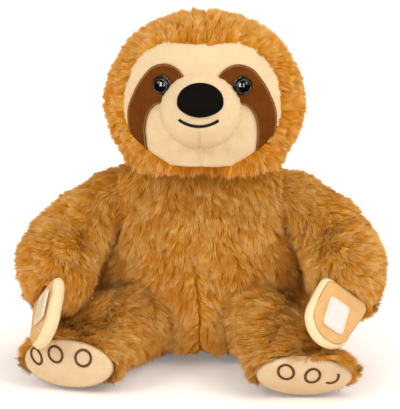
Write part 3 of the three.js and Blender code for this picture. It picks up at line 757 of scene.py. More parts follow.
@dataclass(kw_only=True)
class LegForm(StuffedForm):
    """A thigh and foot, from the hip's ball along -Y, with the foot turned in and down."""

    side: Side
    pose: LegPose

    def foot_turn(self, share: Array) -> tuple[Array, Array]:
        """Returns the foot's turn in and its turn down at shares of the bend, in radians."""
        turn_in = -self.side.value * np.radians(self.pose.toe_in) * share
        return turn_in, np.radians(self.pose.toe_down) * share

    def spine(self, share: Array) -> tuple[Array, Array]:
        """Returns the leg's line, which flares and turns at the foot."""
        ball = THIGH_HEIGHT / 2
        bend = smooth_step(share, FOOT_BEND_SHARE, 1.0)
        table = np.array(self.shares)
        high = through(table[:, 0], table[:, 1:], share)[:, 1]
        turn_in, turn_down = self.foot_turn(bend)
        height = ball * high * np.cos(np.radians(self.pose.toe_down) * bend)
        centre = np.stack(
            [self.side.value * self.pose.flare * bend, ball - share * self.length, height - FLAT_CUT], axis=1
        )
        level = np.cos(turn_down)
        along = np.stack([np.sin(turn_in) * level, -np.cos(turn_in) * level, -np.sin(turn_down)], axis=1)
        return centre, along

    def matrix(self) -> Matrix:
        """The leg frame's place in the body's frame."""
        turn = Matrix.Rotation(math.radians(self.side.value * self.pose.splay), 4, "Z")
        return Matrix.Translation((self.side.value * HIP_HALF, -HIP_FORWARD, 0.0)) @ turn

    def place(self, points: Array) -> Array:
        """Moves points of the leg's frame into the body's frame."""
        frame = np.array(self.matrix())
        return points @ frame[:3, :3].T + frame[:3, 3]

    def sole_matrix(self) -> Matrix:
        """The place of the sole's frame, which looks along -Y from the middle of the foot's cut."""
        half = LEG_SHARES[-1][2] * THIGH_HEIGHT / 2
        down = math.radians(self.pose.toe_down)
        turn = Matrix.Rotation(-self.side.value * math.radians(self.pose.toe_in), 4, "Z")
        turn = turn @ Matrix.Rotation(down, 4, "X")
        middle = Matrix.Translation(
            (self.side.value * self.pose.flare, -self.pose.length, half * math.cos(down) - FLAT_CUT)
        )
        return self.matrix() @ middle @ turn


def leg_form(side: Side) -> LegForm:
    """Builds one leg's form from the shared sizes and its own pose."""
    pose = LEG_POSES[side]
    ball = THIGH_HEIGHT / 2
    length = pose.length + FOOT_CUT + ball
    rows = [(0.0, 1.0, 1.0), (ball / 2 / length, 1.0, 1.0)]
    rows += [((ball + share * (length - ball)) / length, wide, high) for share, wide, high in LEG_SHARES]
    return LegForm(
        shares=rows,
        half=(LEG_WIDTH / 2, ball),
        rounds=(ball, FOOT_ROUND),
        length=length,
        facing=(0.0, 0.0, 1.0),
        side=side,
        pose=pose,
    )


SHOULDER_HALF = 55.0
SHOULDER_FORWARD = -6.0
SHOULDER_HEIGHT = 115.5
DISH_FLAT = 23.0
DISH_RIM = 46.0
DISH_RISE = 14.0
ARM_OUT = 48.0
ARM_FORWARD = 56.0
ARM_DOWN = 42.5
ARM_THICKNESS = 58.0
ARM_SPINE_SHARES = (
    (-0.27, -0.02, 0.03),
    (0.02, 0.0, 0.02),
    (0.26, 0.04, -0.06),
    (0.52, 0.15, -0.34),
    (0.84, 0.44, -0.75),
    (1.0, 1.0, -1.0),
)
ARM_SHARES = (
    (0.0, 0.68, 0.68),
    (0.2, 0.73, 0.73),
    (0.4, 0.88, 0.88),
    (0.62, 0.99, 0.99),
    (0.82, 1.02, 1.02),
    (1.0, 1.0, 1.0),
)
ARM_SLIM = {Side.LEFT: 5.0, Side.RIGHT: 3.0}


def arm_form(side: Side) -> CurvedForm:
    """Builds one arm's form: out of the body's side, down, and forward to a round end."""
    points = [
        (
            side.value * (SHOULDER_HALF + out * ARM_OUT),
            -SHOULDER_FORWARD - ahead * ARM_FORWARD,
            SHOULDER_HEIGHT + up * ARM_DOWN,
        )
        for out, ahead, up in ARM_SPINE_SHARES
    ]
    last = Vector(points[-1])
    points.append(tuple(last + (last - Vector(points[-2])).normalized() * (ARM_THICKNESS / 2)))
    return CurvedForm(
        shares=ARM_SHARES,
        half=(ARM_THICKNESS / 2, ARM_THICKNESS / 2),
        rounds=(6.0, ARM_THICKNESS / 2),
        length=0.0,
        facing=(0.0, 0.0, 1.0),
        points=points,
    )


def dish_limit(points: Array) -> Array:
    """How far out the shoulder's dish is beside each point, in millimetres from the middle."""
    out = np.hypot(points[:, 1] + SHOULDER_FORWARD, points[:, 2] - SHOULDER_HEIGHT)
    return SHOULDER_HALF + DISH_RISE * np.clip((out - DISH_FLAT) / (DISH_RIM - DISH_FLAT), 0.0, 1.0)


NECK_HEIGHT = 141.5
BODY_SHIFT = -2.0
BODY_FORM = UprightForm(
    shares=(
        (0.0, 0.89, 0.89),
        (0.14, 0.99, 0.97),
        (0.3, 1.08, 1.0),
        (0.48, 1.07, 0.97),
        (0.64, 1.01, 0.9),
        (0.78, 0.955, 0.81),
        (0.88, 0.88, 0.7),
        (1.0, 0.72, 0.6),
    ),
    half=(69.0, 50.0),
    rounds=(22.0, 20.0),
    length=158.0,
    facing=(0.0, -1.0, 0.0),
    foot=(BODY_SHIFT, 9.0, -FLAT_CUT),
    settle=4.0,
)
HEAD_SHIFT = 1.3
HEAD_FORWARD = 18.0
HEAD_FORM = UprightForm(
    shares=(
        (0.0, 0.84, 0.84),
        (0.1, 0.88, 0.88),
        (0.24, 0.95, 0.95),
        (0.42, 1.0, 1.0),
        (0.54, 0.975, 0.985),
        (0.64, 0.92, 0.94),
        (0.74, 0.825, 0.86),
        (0.84, 0.72, 0.77),
        (0.93, 0.635, 0.69),
        (1.0, 0.58, 0.64),
    ),
    half=(72.25, 49.5),
    rounds=(9.0, 25.0),
    length=115.5,
    facing=(0.0, -1.0, 0.0),
    foot=(HEAD_SHIFT, -HEAD_FORWARD, NECK_HEIGHT - 2.5),
)
# Where a pile's front piece ends and its back piece begins, along Y.
BODY_FRONT = 9.0
ARM_FRONT = -20.0
LEG_FRONT = -70.0


# The pile.


@dataclass(frozen=True)
class PileStrand:
    """The template of one strand: three-sided, tapered to a point, with a closed root."""

    sides: int = 3

    def make(self) -> tuple[Array, Array]:
        """Builds the strand, and returns its points, with the height in the last column, and triangles."""
        form = bmesh.new()
        bmesh.ops.create_cone(form, cap_ends=True, segments=self.sides, radius1=1.0, radius2=0.0, depth=1.0)
        bmesh.ops.translate(form, verts=form.verts, vec=(0.0, 0.0, 0.5))
        bmesh.ops.remove_doubles(form, verts=form.verts, dist=1e-4)
        face_out(form)
        return triangles_of(form)


@dataclass(frozen=True)
class Pile:
    """How a pile grows: its lengths in millimetres, and shares of one."""

    depth: float = 6.4
    density: float = 2.5
    reach: float = 8.2
    width: float = 0.98
    tuft_area: float = 10.0
    tuft_pull: float = 0.5
    tuft_lean: float = 1.5
    stray: float = 0.2
    press: float = 0.35
    curl: float = 1.4
    swirls: Rows = ((34.0, 0.5), (13.0, 0.28))
    tone: float = 0.46
    tuft_tone: float = 0.3
    strand_tone: float = 0.14
    # Broad lighter and darker patches over the pile: painted shade for where the pile lies one way or
    # another.
    cloth_tone: tuple[float, float] = (42.0, 0.12)


@dataclass
class PileField:
    """Strands rooted over a form, before they are made a mesh."""

    roots: Array
    middles: Array
    tips: Array
    outward: Array
    widths: Array
    tones: Array

    def pick(self, chosen: Array) -> "PileField":
        """Returns the chosen strands."""
        return PileField(*(getattr(self, row.name)[chosen] for row in fields(self)))

    def mesh(self, template: tuple[Array, Array]) -> bpy.types.Mesh:
        """Copies the template strand along every strand's curve.

        Args:
            template: The template's points and triangles.

        Returns:
            The mesh, with the strands' tone and height in its UV map.
        """
        points, faces = template
        count = len(self.roots)
        height = points[:, 2]
        loose = np.random.default_rng(count).normal(size=(count, 3))
        up = unit(self.tips - self.roots)
        across = unit(np.cross(up, loose))
        other = np.cross(up, across)
        h = height[None, :, None]
        start, middle, end = (1 - h) ** 2, 2 * h * (1 - h), h**2
        line = start * self.roots[:, None] + middle * self.middles[:, None] + end * self.tips[:, None]
        half = (self.widths / 2)[:, None, None]
        ring = across[:, None] * points[None, :, 0:1] + other[:, None] * points[None, :, 1:2]
        mesh = copies_mesh(line + ring * (1.0 - h) * half, faces)
        # A strand's corners differ a little in U, so that no face of the map is flat.
        tone = self.tones[:, None] + (np.arctan2(points[:, 1], points[:, 0]) / math.tau * 0.004)[None]
        tall = np.broadcast_to(0.02 + 0.96 * height[None], tone.shape)
        index = (faces[None] + (np.arange(count) * len(points))[:, None, None]).ravel()
        pairs = np.stack([tone, tall], axis=-1).reshape(-1, 2)[index]
        mesh.uv_layers.new(name="OFBake").data.foreach_set("uv", pairs.ravel())
        mesh.validate()
        # The normals follow the pile's surface more than the strand, which gives the pile its soft shade.
        facing = unit(ring * 0.55 + self.outward[:, None] * 0.85 + np.array((0.0, -0.12, 0.22)))
        mesh.normals_split_custom_set_from_vertices(facing.reshape(-1, 3))
        return mesh


def grow(
    skin: bmesh.types.BMesh,
    pile: Pile,
    comb: Callable[[Array, Array], Array],
    keep: Callable[[Array], Array],
    short: Callable[[Array], Array],
    plump: Callable[[Array, Array], Array],
    seed: int,
) -> PileField:
    """Grows a pile over a form's outer skin.

    Args:
        skin: The outer skin, where the tips end.
        pile: How the pile grows.
        comb: Gives the way that the pile lies, from places and normals.
        keep: Says which places carry pile.
        short: Gives a share of the pile's length at each place.
        plump: Says how much fuller the form is there, in millimetres.
        seed: The random seed.

    Returns:
        The strands.
    """
    rng = np.random.default_rng(seed)
    skin.normal_update()
    normals = np.array([v.normal for v in skin.verts])
    places, faces = triangles_of(skin)
    corners = places[faces]
    area = np.linalg.norm(np.cross(corners[:, 1] - corners[:, 0], corners[:, 2] - corners[:, 0]), axis=1) / 2
    count = int(area.sum() * pile.density)
    chosen = np.sort(rng.choice(len(faces), size=count, p=area / area.sum()))
    split = rng.random((count, 2))
    split[split.sum(axis=1) > 1] = 1 - split[split.sum(axis=1) > 1]
    weights = np.concatenate([1 - split.sum(axis=1, keepdims=True), split], axis=1)[:, :, None]
    outer = (corners[chosen] * weights).sum(axis=1)
    normal = unit((normals[faces[chosen]] * weights).sum(axis=1))
    kept = keep(outer)
    outer, normal = outer[kept], normal[kept]
    count = len(outer)

    way = comb(outer, normal)
    inward = np.minimum(0.0, (way * normal).sum(axis=1, keepdims=True))
    way = unit(way - normal * (way * normal).sum(axis=1, keepdims=True))
    swirl = sum(share * wander(outer, size, seed + i) for i, (size, share) in enumerate(pile.swirls, start=1))
    way = unit(way + np.cross(normal, way) * swirl[:, None])

    tufts = max(1, int(count / (pile.tuft_area * pile.density)))
    heads = rng.choice(count, size=tufts, replace=False)
    tree = KDTree(tufts)
    for i, head in enumerate(heads):
        tree.insert(outer[head], i)
    tree.balance()
    owner = np.array([tree.find(p)[1] for p in outer])
    head = heads[owner]

    rise = pile.depth * rng.uniform(0.74, 1.1, tufts)[owner] * rng.uniform(0.88, 1.06, count)
    reach = pile.reach * rng.uniform(0.75, 1.2, count) * rng.uniform(0.8, 1.15, tufts)[owner]
    scale = short(outer)
    rise, reach = rise * scale, reach * scale
    loose = rng.normal(size=(count, 3)) * pile.stray
    lean = unit(way + loose * 0.5) + normal * inward * pile.press
    tuft_lean = unit(rng.normal(size=(tufts, 3)))[owner] * pile.tuft_lean
    root = outer - normal * (pile.depth - plump(outer, normal))[:, None]
    tip = root + normal * rise[:, None] + lean * reach[:, None] + tuft_lean
    middle = root + normal * (rise * 0.72)[:, None] + lean * (reach * 0.3)[:, None]
    middle += np.cross(normal, lean) * (pile.curl * rng.normal(size=tufts)[owner])[:, None]
    gather = (outer[head] - outer) * (pile.tuft_pull * rng.uniform(0.5, 1.0, count)[:, None])
    gather -= normal * (gather * normal).sum(axis=1, keepdims=True)
    tip += gather
    middle += gather * 0.45
    tone = pile.tone + pile.tuft_tone * rng.normal(size=tufts)[owner]
    tone += pile.strand_tone * rng.normal(size=count)
    # Painted shade: broad lighter and darker patches for the pile's lay.
    size, share = pile.cloth_tone
    tone += share * wander(outer, size, seed + 3)
    width = pile.width * rng.uniform(0.75, 1.25, count)
    return PileField(root, middle, tip, normal, width, np.clip(tone, 0.02, 0.98))


FACE_HALF_WIDTH = 54.5
FACE_HALF_HEIGHT = 45.0
FACE_HEIGHT = 189.0
FACE_SHARES = (
    (0.0, 0.98),
    (0.44, 1.0),
    (0.64, 0.9),
    (0.8, 0.75),
    (0.945, 0.48),
    (1.0, 0.15),
    (0.99, -0.24),
    (0.93, -0.49),
    (0.81, -0.69),
    (0.65, -0.85),
    (0.42, -0.97),
    (0.15, -1.0),
)


def face_outline(count: int) -> Array:
    """The face panel's outline in the front view, from the top round to the viewer's right.

    Args:
        count: How many points to give.

    Returns:
        Points in millimetres from the panel's middle.
    """
    right = np.array(FACE_SHARES) * (FACE_HALF_WIDTH, FACE_HALF_HEIGHT)
    left = right[1:][::-1] * (-1, 1)
    ring = np.concatenate([right, left, right[:1]])
    padded = np.concatenate([ring[-4:-1], ring, ring[1:4]])
    knots = np.arange(len(padded), dtype=float)
    return through(knots, padded, np.linspace(3, len(padded) - 4, count, endpoint=False))


def face_reach(x: Array, z: Array) -> Array:
    """How far out each place is from the face's middle, as a share of the outline's reach."""
    return np.hypot(x, z) / reach_of(face_outline(240), np.arctan2(z, x))


def fur_edge(across: Array, up: Array) -> Array:
    """Where the fur begins round the face, as a share of the outline: it closes in over the jowls."""
    jowls = smooth_step(-up, 6.0, 34.0) * smooth_step(np.abs(across), 10.0, 28.0)
    return 1.035 - 0.15 * jowls


# Shapes that the sub-assemblies share.


def front_of(tree: BVHTree, across: Sequence[float] | Array, height: Sequence[float] | Array) -> Array:
    """Finds the front of a form behind places in the front view.

    Args:
        tree: The form.
        across: The places' distance from the middle.
        height: The places' height.

    Returns:
        The places on the form; where the view misses it, the nearest point of the form.
    """
    found = []
    for x, z in zip(across, height):
        hit = tree.ray_cast(Vector((x, -400.0, z)), Vector((0.0, 1.0, 0.0)))[0]
        found.append(hit or tree.find_nearest(Vector((x, -HEAD_FORWARD, z)))[0])
    return np.array(found)


def cushion(surface: Callable[[Array, Array, Array], Array], segments: tuple[int, int]) -> bpy.types.Mesh:
    """Makes a closed sewn panel from a ball that is pressed flat.

    Args:
        surface: Gives places from the share of the way to the rim, the turn round it, and the
            share of the panel's thickness, from 1 on its face to -1 on its back.
        segments: Faces round the panel, and from the middle of its face to that of its back.

    Returns:
        The mesh.
    """
    form, ball = ball_of(segments)
    share = 2.0 * np.arccos(np.clip(np.abs(ball[:, 2]), 0.0, 1.0)) / math.pi
    move_to(form, surface(share, np.arctan2(ball[:, 1], ball[:, 0]), ball[:, 2]))
    return finish_bmesh(form)


def stitch_template() -> tuple[Array, Array]:
    """One stitch of floss: a low rod with round ends, one unit long along X."""
    form = bmesh.new()
    bmesh.ops.create_uvsphere(form, u_segments=6, v_segments=4, radius=0.5)
    bmesh.ops.rotate(form, verts=form.verts, matrix=Matrix.Rotation(math.pi / 2, 3, "Y"))
    return triangles_of(form)


def embroider(path: Array, normals: Array, width: float, pitch: float, closed: bool) -> bpy.types.Mesh:
    """Lays satin stitches side by side across a line.

    Args:
        path: The line, in millimetres.
        normals: Which way the cloth faces along it.
        width: The stitches' length across the line.
        pitch: From one stitch to the next.
        closed: Whether the line comes back to its start.

    Returns:
        The mesh.
    """
    if closed:
        path = np.concatenate([path, path[:1]])
        normals = np.concatenate([normals, normals[:1]])
    run = np.concatenate([[0.0], np.cumsum(np.linalg.norm(np.diff(path, axis=0), axis=1))])
    at = np.arange(0.0, run[-1], run[-1] / max(4, round(run[-1] / pitch)))
    facing = unit(rows_at(at, run, normals))
    along = unit(rows_at(at, run, np.gradient(path, axis=0)))
    across = unit(np.cross(facing, along) + 0.25 * along)
    along = np.cross(across, facing)
    points, faces = stitch_template()
    long = width * np.random.default_rng(len(at)).uniform(0.94, 1.06, len(at))[:, None, None]
    thick = pitch * 1.7
    places = rows_at(at, run, path)[:, None] + across[:, None] * points[None, :, :1] * long
    places += along[:, None] * points[None, :, 1:2] * thick + facing[:, None] * points[None, :, 2:] * thick
    return copies_mesh(places, faces)


def backing_mesh(node: bpy.types.Object, swell: Callable[[Array, Array], Array]) -> bpy.types.Mesh:
    """Makes the cloth round the stuffing from the solid that stands for it.

    Args:
        node: The stuffing's solid.
        swell: Says how far the cloth lies outside the solid, in millimetres, from places and normals.

    Returns:
        The mesh.
    """
    form = bmesh.new()
    form.from_mesh(node.data)
    bmesh.ops.remove_doubles(form, verts=form.verts, dist=1e-6)
    mesh = bpy.data.meshes.new("shape")
    form.to_mesh(mesh)
    form.free()
    shape = bpy.data.objects.new("shape", mesh)
    bpy.context.scene.collection.objects.link(shape)
    remesh = shape.modifiers.new("even_faces", "REMESH")
    remesh.mode = "VOXEL"
    remesh.voxel_size = 4 * MM
    even = bpy.data.meshes.new_from_object(shape.evaluated_get(bpy.context.evaluated_depsgraph_get()))
    bpy.data.objects.remove(shape)
    form = bmesh.new()
    form.from_mesh(even)
    for _ in range(3):
        bmesh.ops.smooth_vert(
            form, verts=form.verts, factor=0.5, use_axis_x=True, use_axis_y=True, use_axis_z=True
        )
    form.normal_update()
    points = np.array([v.co for v in form.verts])
    normals = np.array([v.normal for v in form.verts])
    swollen = swell(points / MM - np.array(BODY_TO_FRAME), normals)
    move_to(form, points + normals * swollen[:, None] * MM)
    form.to_mesh(even)
    form.free()
    return even


def left_and_right(part: str, middle: float) -> dict[str, Callable[[Array], Array]]:
    """Gives the names of a part's left and right panels, with the test of the places in each."""
    return {
        f"{part}_pile_left": lambda p: p[:, 0] < middle,
        f"{part}_pile_right": lambda p: p[:, 0] >= middle,
    }


# The sub-assemblies.


@dataclass
class FurPart:
    """A stuffed part in pile fur: its backing cloth, and the pile of its panels."""

    nodes: dict[str, bpy.types.Object]
    finishes: Finishes
    strand: tuple[Array, Array]
    pile: Pile = Pile()
    loft: float = 1.3
    tuck: float = 0.6
    seam_width: float = 1.8

    def comb(self, places: Array, normals: Array) -> Array:
        """Gives the way that the pile lies."""
        raise NotImplementedError

    def keep(self, places: Array) -> Array:
        """Says which places carry pile."""
        raise NotImplementedError

    def short(self, places: Array) -> Array:
        """Gives a share of the pile's length at each place."""
        return np.ones(len(places))

    def plump(self, places: Array, normals: Array) -> Array:
        """Says how much fuller the part is stuffed than its form, in millimetres."""
        return np.zeros(len(places))

    def bare(self, places: Array) -> Array:
        """Says where the backing is covered by something else than pile, from 0 to 1."""
        return 1.0 - self.keep(places)

    def swell(self, places: Array, normals: Array) -> Array:
        """Says how far the backing lies outside the stuffing's solid, in millimetres."""
        bare = self.bare(places)
        return (self.loft + self.plump(places, normals)) * (1.0 - bare) - self.tuck * bare

    def build_part(
        self,
        part: str,
        form: StuffedForm,
        panels: dict[str, Callable[[Array], Array]],
        front: float,
        seed: int,
    ) -> None:
        """Builds the backing cloth, grows the pile over a form and shares it among panels.

        Args:
            part: The part's name, with its side where it has one. The body's own is the torso.
            form: The outer form, where the pile's tips end.
            panels: Each panel's name, with the test of the places in it.
            front: Where a panel's front piece ends and its back piece begins, along Y.
            seed: The random seed.
        """
        body = "torso" if part == "body" else part
        kind, _, side = part.partition("_")
        backing, stuffing = ("_".join(filter(None, (kind, word, side))) for word in ("backing", "stuffing"))
        mesh = backing_mesh(self.nodes[stuffing], self.swell)
        add_piece(backing, mesh, self.finishes.backing, body, [stuffing])
        grown = grow(form.skin(), self.pile, self.comb, self.keep, self.short, self.plump, seed)
        for panel, inside in panels.items():
            ahead = grown.roots[:, 1] < front
            for end, there in (("front", ahead), ("back", ~ahead)):
                mesh = grown.pick(inside(grown.roots) & there).mesh(self.strand)
                nodes = [panel.replace("pile", "fur")] if end == "front" else []
                add_piece(f"{panel}_{end}", mesh, self.finishes.pile, body, nodes)


@dataclass(kw_only=True)
class Torso(FurPart):
    """The body, whose left and right panels meet in the seam down the belly."""

    around: list[BVHTree]
    flank: float = 6.0
    chest: float = 9.0

    def from_seam(self, places: Array) -> Array:
        """How far places are from the belly's seam, which wanders a little to the viewer's left."""
        return places[:, 0] + 1.0 + 6.0 * smooth_step(places[:, 2], 30.0, 100.0)

    def comb(self, places: Array, normals: Array) -> Array:
        """The pile falls, and parts at the seam down the belly."""
        from_seam = self.from_seam(places)
        low = smooth_step(-places[:, 2], -95.0, -40.0)
        way = np.zeros_like(places)
        way[:, 0] = 0.9 * low * np.sign(from_seam) * np.exp(-np.abs(from_seam) / 14.0)
        way[:, 2] = -1.0
        return way

    def keep(self, places: Array) -> Array:
        """Leaves out what the neck, the shoulders and the legs cover."""
        kept = np.ones(len(places), dtype=bool)
        for tree in self.around:
            kept &= clearance(tree, places) > -4.0
        return kept

    def plump(self, places: Array, normals: Array) -> Array:
        """The stuffing pushes the flanks out above the thighs, and the chest out under the chin."""
        flank = smooth_step(np.abs(normals[:, 0]), 0.35, 0.9)
        flank *= smooth_step(places[:, 2], 10.0, 35.0) * smooth_step(-places[:, 2], -95.0, -65.0)
        chest = smooth_step(-normals[:, 1], 0.2, 0.8) * smooth_step(places[:, 2], 108.0, 134.0)
        return self.flank * flank + self.chest * chest

    def short(self, places: Array) -> Array:
        """The pile is shorter at the belly seam, beside the limbs and where the toy sits on it."""
        low = smooth_step(-places[:, 2], -100.0, -60.0)
        seam = 1.0 - 0.45 * low * np.exp(-((self.from_seam(places) / self.seam_width) ** 2))
        crease = np.ones(len(places))
        for tree in self.around[:4]:
            crease = np.minimum(crease, smooth_step(clearance(tree, places), -2.0, 5.0))
        return seam * (0.62 + 0.38 * crease) * (0.4 + 0.6 * smooth_step(places[:, 2], 0.0, 12.0))

    def build(self) -> None:
        """Builds the body's pieces."""
        self.build_part("body", BODY_FORM, left_and_right("body", BODY_SHIFT), BODY_FRONT, 11)


@dataclass
class Head(FurPart):
    """The head's two panels, which leave the face open."""

    def reach(self, places: Array) -> Array:
        """How far out each place is from the face's middle, as a share of the face panel."""
        return face_reach(places[:, 0] - HEAD_SHIFT, places[:, 2] - FACE_HEIGHT)

    def comb(self, places: Array, normals: Array) -> Array:
        """The pile runs out from the face and back, and falls."""
        way = np.zeros_like(places)
        low = smooth_step(-places[:, 2], -NECK_HEIGHT - 26, -NECK_HEIGHT - 2)
        way[:, 0] = (places[:, 0] - HEAD_SHIFT) / 50.0 * (1 - 0.75 * low)
        way[:, 2] = (places[:, 2] - FACE_HEIGHT) / 60.0 - 0.35 - 0.5 * low
        way[:, 1] = 0.55
        return way

    def keep(self, places: Array) -> Array:
        """Leaves the face and the neck bare."""
        across, up = places[:, 0] - HEAD_SHIFT, places[:, 2] - FACE_HEIGHT - 1.2
        face = (face_reach(across, up) < fur_edge(across, up)) & (places[:, 1] < -HEAD_FORWARD)
        return ~face & (places[:, 2] > NECK_HEIGHT - 1)

    def plump(self, places: Array, normals: Array) -> Array:
        """The head is drawn in at the sides, where it meets the neck."""
        low = smooth_step(-places[:, 2], -NECK_HEIGHT - 32, -NECK_HEIGHT - 2)
        out = np.abs(places[:, 0] - HEAD_SHIFT)
        return -1.4 + 0.9 * smooth_step(out, 50.0, 66.0) - 4.5 * low * smooth_step(out, 34.0, 60.0)

    def short(self, places: Array) -> Array:
        """The pile is shorter round the face and along the crown's seam."""
        front = places[:, 1] < -HEAD_FORWARD
        edge = np.where(front, smooth_step(self.reach(places), 0.98, 1.2), 1.0)
        seam = 1.0 - 0.4 * np.exp(-(((places[:, 0] - HEAD_SHIFT) / self.seam_width) ** 2))
        collar = 1.0 + 0.5 * front * smooth_step(-places[:, 2], -NECK_HEIGHT - 10, -NECK_HEIGHT)
        side = 1.0 - 0.18 * smooth_step(np.abs(places[:, 0] - HEAD_SHIFT), 50.0, 66.0)
        return (0.8 + 0.2 * edge) * seam * collar * side

    def build(self) -> None:
        """Builds the head's pieces."""
        self.build_part("head", HEAD_FORM, left_and_right("head", HEAD_SHIFT), -HEAD_FORWARD, 21)


@dataclass(kw_only=True)
class Arm(FurPart):
    """An arm, from the shoulder's dish to the round end that holds the hand."""

    side: Side
    hand: "Hand"

    def comb(self, places: Array, normals: Array) -> Array:
        """The pile falls down the arm to the hand."""
        return np.tile(np.array((0.75 * self.side.value, 0.0, -0.8)), (len(places), 1))

    def plump(self, places: Array, normals: Array) -> Array:
        """The stuffing pushes the upper arm up and out, above the bend."""
        away = places[:, 0] * self.side.value
        upper = smooth_step(normals[:, 2], 0.2, 0.85) * smooth_step(away, 74.0, 96.0)
        under = 3.0 * smooth_step(-normals[:, 2], 0.3, 0.9) * (self.hand.off(places) > 6.0)
        slim = ARM_SLIM[self.side] * smooth_step(normals[:, 0] * self.side.value, 0.3, 0.9)
        inner = 3.5 * smooth_step(-normals[:, 2], 0.0, 0.7) * smooth_step(-away, -98.0, -84.0)
        return 4.0 * upper * smooth_step(places[:, 2], 70.0, 90.0) + under + inner - slim

    def keep(self, places: Array) -> Array:
        """Leaves out what lies in the body, and the room of the hand."""
        kept = places[:, 0] * self.side.value > dish_limit(places) - 4.0
        return kept & (self.hand.off(places) > 0.3)

    def short(self, places: Array) -> Array:
        """The pile is shorter round the hand."""
        return 0.6 + 0.4 * smooth_step(self.hand.off(places), 0.0, 7.0)

    def build(self) -> None:
        """Builds the arm's pieces."""
        part = f"arm_{self.side.word}"
        panels = {f"arm_pile_{self.side.word}": lambda p: np.ones(len(p), dtype=bool)}
        self.build_part(part, arm_form(self.side), panels, ARM_FRONT, 31 + self.side.value)


HAND_SEAM = 40.0
HAND_LENGTH = 46.0
HAND_THICKNESS = {Side.RIGHT: 10.4, Side.LEFT: 12.8}
HAND_TIP_OFFSET = -6.5
HAND_TIP_RADIUS = 19.0
HAND_MIDDLE = (HAND_TIP_OFFSET / 2, -HAND_LENGTH / 2)
PATCH_PLACES = {Side.RIGHT: (-5.0, -22.5), Side.LEFT: (-13.5, -21.0)}
WRISTS = {
    Side.RIGHT: ((87, -82, 76.5), (114, -73, 55), (78, -128, 34)),
    Side.LEFT: ((-93, -86, 76), (-111.5, -60, 49), (-96, -126, 46)),
}


